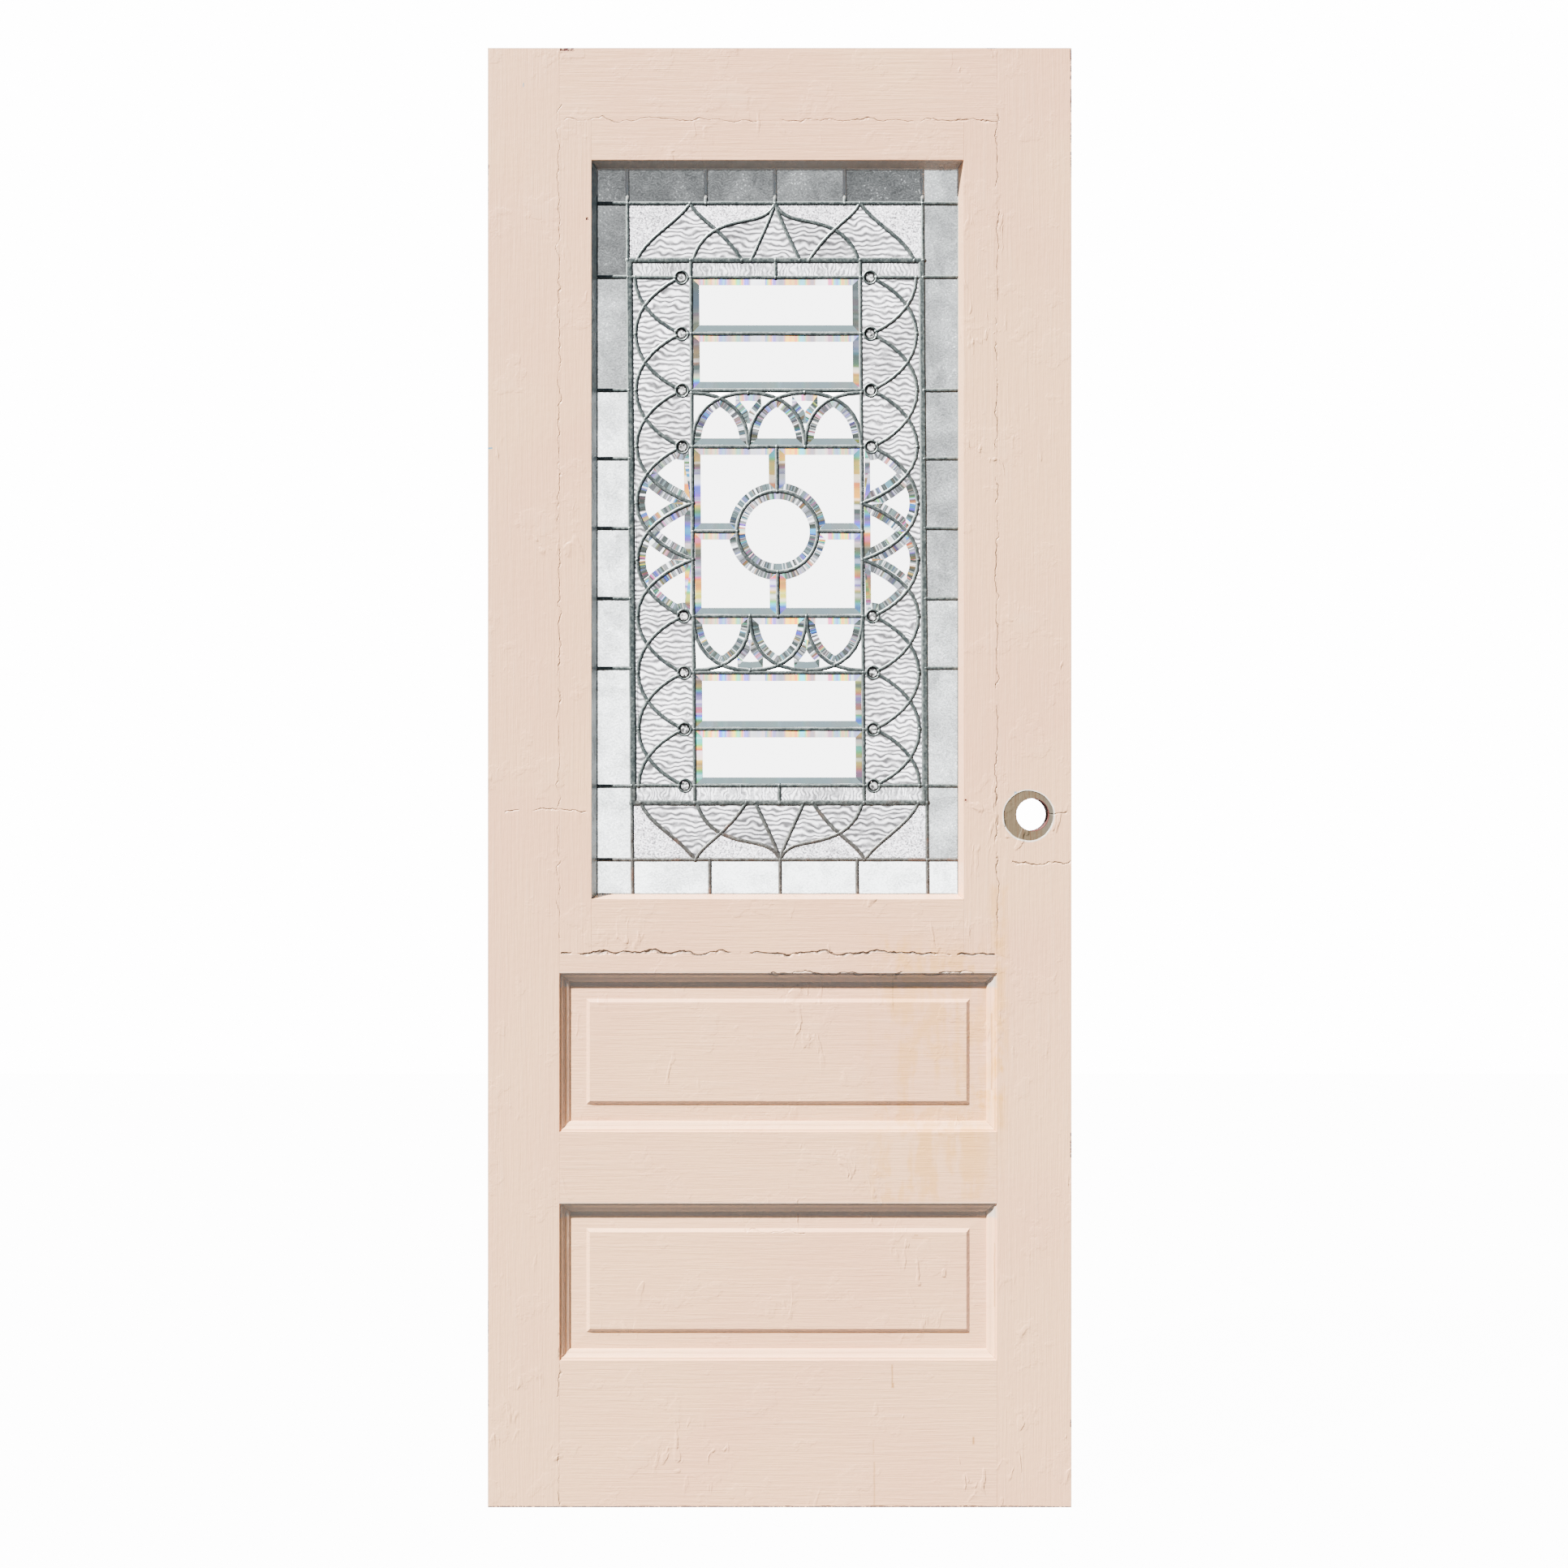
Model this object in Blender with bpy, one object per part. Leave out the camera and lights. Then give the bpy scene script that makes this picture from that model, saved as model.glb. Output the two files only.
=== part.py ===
# A painted front door: stiles and rails with two raised panels, a lead-framed glass panel in a
# filler frame, and a lock bore. Metres, +Z up, the front faces -Y. The origin is on the hinge
# edge, half way up and half way through the thickness.

import math
import bpy
import bmesh
from mathutils import Vector
from mathutils.geometry import delaunay_2d_cdt

MM = 0.001
GAP = 0.3 * MM  # between pieces that touch

# The slab
DOOR_WIDTH = 914.4 * MM
DOOR_HEIGHT = 2286.0 * MM
DOOR_THICKNESS = 44.5 * MM
HINGE_STILE = 111.8 * MM
LOCK_STILE = 116.8 * MM
TOP_RAIL = 113.0 * MM
LOCK_RAIL = 30.5 * MM
UPPER_PANEL = 249.0 * MM  # height between the rails
MIDDLE_RAIL = 112.0 * MM
LOWER_PANEL = 246.0 * MM
BOTTOM_RAIL = 230.0 * MM

# Moulded edge of a panel opening: (inset from the opening, depth from the face)
FILLET = [(0.0, 0.0), (0.8, 2.6), (3.8, 3.1)]
FRONT_STICKING = FILLET + [(5.2, 5.6), (8.0, 8.0), (11.6, 9.5), (14.2, 11.2), (15.6, 14.0)]
BACK_STICKING = [(0.0, 0.0), (1.0, 2.6), (15.6, 14.0)]
GROOVE_DEPTH = 9.0 * MM
PANEL_CLEARANCE = 1.0 * MM  # between a panel's edge and the bottom of its groove
PANEL_MARGIN = 26.0 * MM  # from the moulding to the raised field
PANEL_SLOPE = 0.8 * MM  # the margin rises this much towards the field
FIELD_BEVEL = 5.5 * MM
FIELD_RISE = 4.8 * MM

# Filler frame that makes the first opening smaller
FILLER_HINGE_SIDE = 50.2 * MM
FILLER_LOCK_SIDE = 52.0 * MM
FILLER_TOP = 62.2 * MM
FILLER_BOTTOM = 85.1 * MM
REVEAL_DEPTH = 26.0 * MM
REVEAL_SPLAY = 6.5 * MM
GLASS_LIP = 8.0 * MM  # the filler overlaps the leaded panel by this
REBATE_CLEARANCE = 1.0 * MM
BEAD_SPLAY = 3.0 * MM

# Fittings cut in the edges
HINGE_HEIGHT = 101.6 * MM
HINGE_GAIN_DEPTH = 2.8 * MM
HINGE_LAND = 6.0 * MM  # wood left in front of the gain
TOP_HINGE_DOWN = 185.0 * MM  # top of the door to the top gain
BOTTOM_HINGE_UP = 220.0 * MM  # foot of the door to the bottom gain
LOCK_BORE = 51.0 * MM
LOCK_BACKSET = 61.0 * MM
LOCK_HEIGHT = 1085.0 * MM  # above the foot
LATCH_BORE = 25.4 * MM
LATCH_FACE_WIDTH = 25.4 * MM
LATCH_FACE_HEIGHT = 57.0 * MM
LATCH_FACE_DEPTH = 3.0 * MM
BORE_SIDES = 24
LATCH_SIDES = 16

# Leaded panel
LEAD_THICKNESS = 7.0 * MM
FLANGE_THICKNESS = 1.8 * MM
HEART = 1.4 * MM  # web of a came, between two glasses
THIN_CAME = 6.3 * MM
THICK_CAME = 9.5 * MM
EDGE_CAME = 9.5 * MM
JEWEL_CAME = 2.8 * MM
SIDE_BORDER = 60.3 * MM  # from the leaded panel's edge to the border's line
END_BORDER = 62.3 * MM
OGEE_BAND = 89.8 * MM  # from the border's line to the thick came, above and below
THICK_SETBACK = 3.0 * MM  # the same at the sides
ARC_SETBACK = 11.0 * MM  # from the border's line to the crown of the side arcs
NARROW_ROW = 27.1 * MM  # from the thick came to the first and last rows of the middle
SIDE_BAND = 99.2 * MM  # from the border's line to the middle's side
JEWEL_OUT = 15.3 * MM  # from the middle's side to a jewel
JEWEL_RADIUS = 10.1 * MM  # of the ring came's middle line
CIRCLE_SHARE = 0.7175  # the circle's radius, in pitches
PANEL_LEAN = 3.8 * MM  # the pattern leans by this at its top and bottom lines
TOP_SPLITS = (-109.0, 0.0, 110.0)
BOTTOM_SPLITS = (-111.0, 0.0, 122.0)
SIDE_SPLITS = (0.776, 0.430, 0.222, 0.010, -0.205, -0.417, -0.776)  # shares of the border's height
MIDDLE_ROWS = 4.5  # pitches from the centre to the first and last rows
MIDDLE_SIDE = 1.5  # pitches from the centre to the square's sides
ROW_LEVELS = (1.5, 2.5, 3.5, 4.5)
NODES_PER_SIDE = 10
NODES_WITHOUT_JEWEL = (4, 5)
SIDE_BOW = ((0.38, 0.12), (1.0, 0.47))  # handles of an arc, as shares of its rise and its run
ARCH_BOW = ((0.62, 0.0), (1.0, 0.35))
ARCH_SHORT = 0.6  # an arch stops this share of a came's width below the next line
OGEE_SIDE = -0.582  # where two ogees end in a point, as a share of the thick came's half length
OGEE_SHOULDER = (-0.217, 0.69)
BEVEL_WIDTH = 10.0 * MM
PLATE_GLASS = 6.0 * MM  # bevelled glass, inside its bevel
PLAIN_GLASS = 3.4 * MM
LAYER_OVERLAP = 0.2 * MM  # the came's layers run into each other by this
ARC_STEPS = 4  # segments in each half of an arc
CIRCLE_STEPS = 16
JEWEL_STEPS = 6
OGEE_STEPS = 3
SMALLEST_GLASS = 20.0 * MM * MM  # smaller gaps between cames are closed by solder
SAME_POINT = 0.02 * MM
MESH_TOLERANCE = 1e-4  # of the triangulation, in millimetres
RING_CLEARANCE = 1.5  # an arc starts on a jewel's ring when its points are this many radii away
FILLED_RING = 0.9  # a ring is a disc once half its width is this share of its radius
MITRE_LIMIT = 0.5

FRONT = -DOOR_THICKNESS / 2
BACK = DOOR_THICKNESS / 2
FOOT = -DOOR_HEIGHT / 2
HEAD = DOOR_HEIGHT / 2
PAST = 2.0 * MM  # a cutter goes past a face by this

PAINT = (0.80, 0.66, 0.57, 1.0)
LEAD_GREY = (0.30, 0.33, 0.35, 1.0)
CLEAR_GLASS = (0.90, 0.94, 0.94, 1.0)


def clearScene():
    for obj in list(bpy.data.objects):
        bpy.data.objects.remove(obj, do_unlink=True)


def makeMaterial(name, colour, roughness, metallic=0.0, transmission=0.0):
    material = bpy.data.materials.new(name)
    material.use_nodes = True
    shader = material.node_tree.nodes["Principled BSDF"]
    shader.inputs["Base Color"].default_value = colour
    shader.inputs["Roughness"].default_value = roughness
    shader.inputs["Metallic"].default_value = metallic
    shader.inputs["Transmission Weight"].default_value = transmission
    return material


def linkObject(name, mesh, material=None):
    obj = bpy.data.objects.new(name, mesh)
    bpy.context.scene.collection.objects.link(obj)
    if material:
        mesh.materials.append(material)
    return obj


def meshFromBmesh(name, bm):
    bmesh.ops.recalc_face_normals(bm, faces=bm.faces)
    mesh = bpy.data.meshes.new(name)
    bm.to_mesh(mesh)
    bm.free()
    return mesh


# A prism on an outline given as (x, z), between two depths
def prism(name, outline, y0, y1, material=None):
    bm = bmesh.new()
    face = bm.faces.new([bm.verts.new((x, y0, z)) for x, z in outline])
    grown = bmesh.ops.extrude_face_region(bm, geom=[face])
    moved = [v for v in grown["geom"] if isinstance(v, bmesh.types.BMVert)]
    bmesh.ops.translate(bm, verts=moved, vec=(0, y1 - y0, 0))
    return linkObject(name, meshFromBmesh(name, bm), material)


def boxOutline(x0, x1, z0, z1):
    return [(x0, z0), (x1, z0), (x1, z1), (x0, z1)]


# A stack of rectangles round an opening, each as (inset, depth), closed at both ends
def ringStack(name, opening, rings, material=None):
    x0, x1, z0, z1 = opening
    bm = bmesh.new()
    loops = []
    for inset, y in rings:
        outline = boxOutline(x0 + inset, x1 - inset, z0 + inset, z1 - inset)
        loops.append([bm.verts.new((x, y, z)) for x, z in outline])
    for lower, upper in zip(loops, loops[1:]):
        for i in range(4):
            j = (i + 1) % 4
            bm.faces.new((lower[i], lower[j], upper[j], upper[i]))
    bm.faces.new(loops[0])
    bm.faces.new(loops[-1])
    return linkObject(name, meshFromBmesh(name, bm), material)


def cylinder(name, radius, start, end, sides):
    start, end = Vector(start), Vector(end)
    run = end - start
    bm = bmesh.new()
    bmesh.ops.create_cone(bm, cap_ends=True, segments=sides, radius1=radius, radius2=radius, depth=run.length)
    bmesh.ops.rotate(bm, verts=bm.verts, cent=(0, 0, 0), matrix=run.to_track_quat("Z", "Y").to_matrix())
    bmesh.ops.translate(bm, verts=bm.verts, vec=(start + end) / 2)
    return linkObject(name, meshFromBmesh(name, bm))


def asCutter(obj):
    obj.hide_render = True
    obj.display_type = "WIRE"
    return obj


def cut(obj, cutter, operation="DIFFERENCE", solver="EXACT"):
    modifier = obj.modifiers.new(cutter.name, "BOOLEAN")
    modifier.operation = operation
    modifier.solver = solver
    modifier.object = cutter


# The corner of a mitred lip: how far the lip's outline reaches past the edge it is on
def stickingInset():
    return FRONT_STICKING[-1][0] * MM


def panelRings():
    front = [(s * MM, FRONT + d * MM) for s, d in FRONT_STICKING]
    back = [(s * MM, BACK - d * MM) for s, d in BACK_STICKING]
    return [(0.0, FRONT - PAST)] + front + back[::-1] + [(0.0, BACK + PAST)]


# Heights of every line across the door, from the foot up
Z_BOTTOM_RAIL = FOOT + BOTTOM_RAIL
Z_LOWER_PANEL = Z_BOTTOM_RAIL + LOWER_PANEL
Z_MIDDLE_RAIL = Z_LOWER_PANEL + MIDDLE_RAIL
Z_UPPER_PANEL = Z_MIDDLE_RAIL + UPPER_PANEL
Z_LOCK_RAIL = Z_UPPER_PANEL + LOCK_RAIL
Z_WINDOW = HEAD - TOP_RAIL
X_LEFT = HINGE_STILE
X_RIGHT = DOOR_WIDTH - LOCK_STILE
LOWER_OPENING = (X_LEFT, X_RIGHT, Z_BOTTOM_RAIL, Z_LOWER_PANEL)
UPPER_OPENING = (X_LEFT, X_RIGHT, Z_MIDDLE_RAIL, Z_UPPER_PANEL)
GLASS_X = (X_LEFT + FILLER_HINGE_SIDE, X_RIGHT - FILLER_LOCK_SIDE)
GLASS_Z = (Z_LOCK_RAIL + FILLER_BOTTOM, Z_WINDOW - FILLER_TOP)
GLASS_OPENING = GLASS_X + GLASS_Z

# The pattern's lines, from the middle of the leaded panel: U across and V up
HALF_U = (GLASS_X[1] - GLASS_X[0]) / 2 - REVEAL_SPLAY + GLASS_LIP
HALF_V = (GLASS_Z[1] - GLASS_Z[0]) / 2 - REVEAL_SPLAY + GLASS_LIP
BORDER_U = HALF_U - SIDE_BORDER
BORDER_V = HALF_V - END_BORDER
THICK_U = BORDER_U - THICK_SETBACK
THICK_V = BORDER_V - OGEE_BAND
ARC_APEX_U = BORDER_U - ARC_SETBACK
COLUMN_U = BORDER_U - SIDE_BAND
PITCH = (THICK_V - NARROW_ROW) / MIDDLE_ROWS  # from jewel to jewel, and between the rows
STEP = COLUMN_U / MIDDLE_SIDE  # from arch to arch
JEWEL_U = COLUMN_U + JEWEL_OUT
CIRCLE_RADIUS = CIRCLE_SHARE * min(PITCH, STEP)


# An upright's outline, with a mitred lip on its inner edge beside each opening
def uprightOutline(outer, edge, foot, head, openings, reach):
    outline = [(outer, foot), (edge, foot)]
    for z0, z1 in openings:
        outline += [(edge, z0), (edge + reach, z0 + abs(reach)), (edge + reach, z1 - abs(reach)), (edge, z1)]
    return outline + [(edge, head), (outer, head)]


# A cross piece's outline between two uprights, with a mitred lip below, above or on both edges
def crossOutline(left, right, z0, z1, reach, lipBelow, lipAbove):
    left, right = left + GAP, right - GAP
    inner = GAP / 2
    outline = [(left, z0)]
    if lipBelow:
        outline += [(left + inner, z0), (left + inner + reach, z0 - reach)]
        outline += [(right - inner - reach, z0 - reach), (right - inner, z0)]
    outline += [(right, z0), (right, z1)]
    if lipAbove:
        outline += [(right - inner, z1), (right - inner - reach, z1 + reach)]
        outline += [(left + inner + reach, z1 + reach), (left + inner, z1)]
    return outline + [(left, z1)]


def grooveCutter(name, opening):
    x0, x1, z0, z1 = opening
    reach = stickingInset() - GROOVE_DEPTH
    outline = boxOutline(x0 + reach, x1 - reach, z0 + reach, z1 - reach)
    return asCutter(prism(name, outline, panelFront() - GAP, panelBack() + GAP))


def panelFront():
    return FRONT + FRONT_STICKING[-1][1] * MM


def panelBack():
    return BACK - BACK_STICKING[-1][1] * MM


def buildFrame(paint):
    lip = stickingInset() + PAST
    panels = [(Z_BOTTOM_RAIL, Z_LOWER_PANEL), (Z_MIDDLE_RAIL, Z_UPPER_PANEL)]
    hingeOutline = uprightOutline(0.0, X_LEFT, FOOT, HEAD, panels, lip)
    lockOutline = uprightOutline(DOOR_WIDTH, X_RIGHT, FOOT, HEAD, panels, -lip)
    hinge = prism("hinge_stile", hingeOutline, FRONT, BACK, paint)
    lock = prism("lock_stile", lockOutline, FRONT, BACK, paint)
    rails = {
        "bottom_rail": (FOOT, Z_BOTTOM_RAIL, False, True),
        "middle_rail": (Z_LOWER_PANEL, Z_MIDDLE_RAIL, True, True),
        "lock_rail": (Z_UPPER_PANEL, Z_LOCK_RAIL, True, False),
        "top_rail": (Z_WINDOW, HEAD, False, False),
    }
    made = {}
    for name, (z0, z1, below, above) in rails.items():
        made[name] = prism(name, crossOutline(X_LEFT, X_RIGHT, z0, z1, lip, below, above), FRONT, BACK, paint)
    beside = {
        "lower": (LOWER_OPENING, ("bottom_rail", "middle_rail")),
        "upper": (UPPER_OPENING, ("middle_rail", "lock_rail")),
    }
    for place, (opening, touching) in beside.items():
        void = asCutter(ringStack(place + "_opening", opening, panelRings()))
        groove = grooveCutter(place + "_groove", opening)
        for piece in [hinge, lock] + [made[name] for name in touching]:
            cut(piece, void)
            cut(piece, groove)
    cutHingeGains(hinge)
    cutLock(lock)


def cutHingeGains(stile):
    tops = {"top": HEAD - TOP_HINGE_DOWN, "bottom": FOOT + BOTTOM_HINGE_UP + HINGE_HEIGHT}
    for name, top in tops.items():
        outline = boxOutline(-PAST, HINGE_GAIN_DEPTH, top - HINGE_HEIGHT, top)
        cut(stile, asCutter(prism(name + "_hinge_gain", outline, FRONT + HINGE_LAND, BACK + PAST)))


def cutLock(stile):
    x, z = DOOR_WIDTH - LOCK_BACKSET, FOOT + LOCK_HEIGHT
    bore = cylinder("lock_bore", LOCK_BORE / 2, (x, FRONT - PAST, z), (x, BACK + PAST, z), BORE_SIDES)
    latch = cylinder("latch_bore", LATCH_BORE / 2, (x, 0, z), (DOOR_WIDTH + PAST, 0, z), LATCH_SIDES)
    half = LATCH_FACE_HEIGHT / 2
    outline = boxOutline(DOOR_WIDTH - LATCH_FACE_DEPTH, DOOR_WIDTH + PAST, z - half, z + half)
    face = prism("latch_face", outline, -LATCH_FACE_WIDTH / 2, LATCH_FACE_WIDTH / 2)
    for cutter in (bore, latch, face):
        cut(stile, asCutter(cutter))


# A panel housed in the grooves, raised in front and flat behind
def buildPanel(name, opening, paint):
    reach = stickingInset()
    housed = reach - GROOVE_DEPTH + PANEL_CLEARANCE
    field = reach + PANEL_MARGIN
    front = panelFront()
    rings = [
        (housed, panelBack()),
        (housed, front),
        (reach, front),
        (field, front - PANEL_SLOPE),
        (field + FIELD_BEVEL, front - FIELD_RISE),
    ]
    ringStack(name, opening, rings, paint)


def buildFiller(paint):
    x0, x1, z0, z1 = GLASS_OPENING
    lip = REVEAL_SPLAY + PAST
    foot, head = Z_LOCK_RAIL + GAP, Z_WINDOW - GAP
    pieces = {
        "filler_hinge_side": uprightOutline(X_LEFT + GAP, x0, foot, head, [(z0, z1)], lip),
        "filler_lock_side": uprightOutline(X_RIGHT - GAP, x1, foot, head, [(z0, z1)], -lip),
        "filler_top": crossOutline(x0, x1, z1, head, lip, True, False),
        "filler_bottom": crossOutline(x0, x1, foot, z0, lip, False, True),
    }
    rebate = REVEAL_SPLAY - GLASS_LIP - REBATE_CLEARANCE
    shelf = FRONT + REVEAL_DEPTH
    rings = [(0.0, FRONT - PAST), (0.0, FRONT), (REVEAL_SPLAY, shelf), (rebate, shelf), (rebate, BACK + PAST)]
    void = asCutter(ringStack("glass_opening", GLASS_OPENING, rings))
    for name, outline in pieces.items():
        cut(prism(name, outline, FRONT, BACK, paint), void)


# Four mitred beads behind the leaded panel
def buildBeads(paint):
    x0, x1, z0, z1 = GLASS_OPENING
    outer = REVEAL_SPLAY - GLASS_LIP - REBATE_CLEARANCE + GAP
    inner = REVEAL_SPLAY + PAST
    near = FRONT + REVEAL_DEPTH + LEAD_THICKNESS + 2 * GAP
    rings = [(REVEAL_SPLAY, near - PAST), (REVEAL_SPLAY, near), (REVEAL_SPLAY - BEAD_SPLAY, BACK)]
    rings.append((REVEAL_SPLAY - BEAD_SPLAY, BACK + PAST))
    void = asCutter(ringStack("bead_opening", GLASS_OPENING, rings))
    outside = boxOutline(x0 + outer, x1 - outer, z0 + outer, z1 - outer)
    inside = boxOutline(x0 + inner, x1 - inner, z0 + inner, z1 - inner)
    for i, side in enumerate(("bottom", "lock_side", "top", "hinge_side")):
        j = (i + 1) % 4
        start, end = Vector(outside[i]), Vector(outside[j])
        run = (end - start).normalized() * GAP
        ends = [start + run, end - run, Vector(inside[j]) - run, Vector(inside[i]) + run]
        cut(prism("glazing_bead_" + side, [tuple(p) for p in ends], near, BACK, paint), void)


# Points along a cubic curve, both ends included
def bezier(p0, p1, p2, p3, steps):
    points = []
    for i in range(steps + 1):
        t = i / steps
        a, b, c, d = (1 - t) ** 3, 3 * t * (1 - t) ** 2, 3 * t * t * (1 - t), t**3
        points.append(tuple(a * p0[k] + b * p1[k] + c * p2[k] + d * p3[k] for k in (0, 1)))
    return points


# Half of an interlaced arc, as (out, along), from its foot to its crown
def halfArc(rise, run, bow):
    first, second = ((out * rise, along * run) for out, along in bow)
    return bezier((0, 0), first, second, (rise, run), ARC_STEPS)


def ringPoints(u, v, radius, steps):
    turns = [2 * math.pi * (i + 0.5) / steps for i in range(steps)]
    return [(u + radius * math.cos(a), v + radius * math.sin(a)) for a in turns]


# Distance from a ring's centre to the middle of one of its straight segments
def flatRadius(radius, steps):
    return radius * math.cos(math.pi / steps)


# Leaves out what lies inside a jewel's ring, and starts on the ring instead
def fromRing(points, centre, radius):
    centre = Vector(centre)
    outside = [Vector(p) for p in points if (Vector(p) - centre).length > RING_CLEARANCE * radius]
    start = centre + (outside[0] - centre).normalized() * radius
    return [tuple(start)] + [tuple(p) for p in outside]


# Heights of the points that the side arcs start from, and which of them hold a jewel
def nodeHeights():
    heights = [(MIDDLE_ROWS - i) * PITCH for i in range(NODES_PER_SIDE)]
    return [(v, i not in NODES_WITHOUT_JEWEL) for i, v in enumerate(heights)]


def jewelHeights():
    return [v for v, hasJewel in nodeHeights() if hasJewel]


# Every came is (points in the pattern's plane, width, closed)
def straightCames():
    square, rows = MIDDLE_SIDE * PITCH, MIDDLE_ROWS * PITCH
    ring = JEWEL_U + flatRadius(JEWEL_RADIUS, JEWEL_STEPS)
    inner = JEWEL_U - flatRadius(JEWEL_RADIUS, JEWEL_STEPS)
    circle = flatRadius(CIRCLE_RADIUS, CIRCLE_STEPS)
    edgeU, edgeV = HALF_U - EDGE_CAME / 2, HALF_V - EDGE_CAME / 2
    cames = []
    for side in (-1, 1):
        cames.append(([(side * BORDER_U, -edgeV), (side * BORDER_U, edgeV)], THIN_CAME, False))
        cames.append(([(-edgeU, side * BORDER_V), (edgeU, side * BORDER_V)], THIN_CAME, False))
        cames.append(([(side * THICK_U, -THICK_V), (side * THICK_U, THICK_V)], THICK_CAME, False))
        cames.append(([(-BORDER_U, side * THICK_V), (BORDER_U, side * THICK_V)], THICK_CAME, False))
        cames.append(([(side * COLUMN_U, -THICK_V), (side * COLUMN_U, THICK_V)], THIN_CAME, False))
        cames.append(([(0, side * rows), (0, side * THICK_V)], THIN_CAME, False))
        cames.append(([(0, side * circle), (0, side * square)], THIN_CAME, False))
        cames.append(([(side * circle, 0), (side * COLUMN_U, 0)], THIN_CAME, False))
        for level in ROW_LEVELS:
            v = side * level * PITCH
            cames.append(([(-COLUMN_U, v), (COLUMN_U, v)], THIN_CAME, False))
        for v in (rows, -rows):
            cames.append(([(side * THICK_U, v), (side * ring, v)], THIN_CAME, False))
        for v in jewelHeights():
            cames.append(([(side * inner, v), (side * COLUMN_U, v)], THIN_CAME, False))
            cames.append((ringPoints(side * JEWEL_U, v, JEWEL_RADIUS, JEWEL_STEPS), JEWEL_CAME, True))
        for share in SIDE_SPLITS:
            v = share * BORDER_V
            cames.append(([(side * BORDER_U, v), (side * edgeU, v)], THIN_CAME, False))
    for splits, side in ((TOP_SPLITS, 1), (BOTTOM_SPLITS, -1)):
        for u in splits:
            cames.append(([(u * MM, side * BORDER_V), (u * MM, side * edgeV)], THIN_CAME, False))
    cames.append((ringPoints(0, 0, CIRCLE_RADIUS, CIRCLE_STEPS), THIN_CAME, True))
    return cames


# Interlaced arcs down each side, from each node to the level of the next ones
def sideArcs():
    cames = []
    nearRing = flatRadius(JEWEL_RADIUS, JEWEL_STEPS)
    highest = MIDDLE_ROWS * PITCH + PAST
    for side in (-1, 1):
        for v, hasJewel in nodeHeights():
            start = JEWEL_U if hasJewel else COLUMN_U
            for way in (-1, 1):
                if abs(v + way * PITCH) > highest:
                    continue
                half = halfArc(ARC_APEX_U - start, PITCH, SIDE_BOW)
                points = [(side * (start + out), v + way * along) for out, along in half]
                if hasJewel:
                    points = fromRing(points, (side * start, v), nearRing)
                cames.append((points, THIN_CAME, False))
    return cames


# Three pointed arches over the square, and three hanging below it
def centreArches():
    cames = []
    half = halfArc(PITCH - THIN_CAME * ARCH_SHORT, STEP, ARCH_BOW)
    spring = MIDDLE_SIDE * PITCH
    for side in (-1, 1):
        for foot in (-COLUMN_U, -COLUMN_U + STEP, COLUMN_U - STEP, COLUMN_U):
            for way in (-1, 1):
                if abs(foot + way * STEP) > COLUMN_U + PAST:
                    continue
                points = [(foot + way * along, side * (spring + out)) for out, along in half]
                cames.append((points, THIN_CAME, False))
    return cames


# Ogee arches between the thick came and the border, drawn for the upper left and mirrored.
# Points are shares of the thick came's half length and of the band's height
def ogees():
    side, shoulder, peak = (OGEE_SIDE, 1.0), OGEE_SHOULDER, (0.0, 1.0)
    curves = [
        ((-0.954, 0.0), (-0.884, 0.41), (-0.698, 0.60), side),
        (side, (-0.527, 0.71), (-0.368, 0.57), (-0.229, 0.0)),
        ((-0.570, 0.0), (-0.512, 0.45), (-0.411, 0.59), shoulder),
        (shoulder, (-0.109, 0.74), (-0.035, 0.78), peak),
        (peak, (-0.027, 0.74), (-0.093, 0.42), (-0.167, 0.0)),
    ]
    cames = []
    for curve in curves:
        points = bezier(*[(u * THICK_U, THICK_V + v * OGEE_BAND) for u, v in curve], OGEE_STEPS)
        for sideU in (-1, 1):
            for sideV in (-1, 1):
                cames.append(([(sideU * u, sideV * v) for u, v in points], THIN_CAME, False))
    return cames


# From the pattern's plane to the door's: the pattern leans a little, its edge came doesn't
def onDoor(points, leans=True):
    centreX, centreZ = sum(GLASS_X) / 2, sum(GLASS_Z) / 2
    lean = -PANEL_LEAN / BORDER_V if leans else 0.0
    return [(centreX + u + lean * v, centreZ + v) for u, v in points]


def allCames():
    drawn = straightCames() + sideArcs() + centreArches() + ogees()
    cames = [(onDoor(points), width, closed) for points, width, closed in drawn]
    edgeU, edgeV = HALF_U - EDGE_CAME / 2, HALF_V - EDGE_CAME / 2
    cames.append((onDoor(boxOutline(-edgeU, edgeU, -edgeV, edgeV), leans=False), EDGE_CAME, True))
    return cames


def isConvex(outline):
    count = len(outline)
    sides = [Vector(outline[(i + 1) % count]) - Vector(outline[i]) for i in range(count)]
    return min(sides[i].cross(sides[(i + 1) % count]) for i in range(count)) > 0


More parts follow.
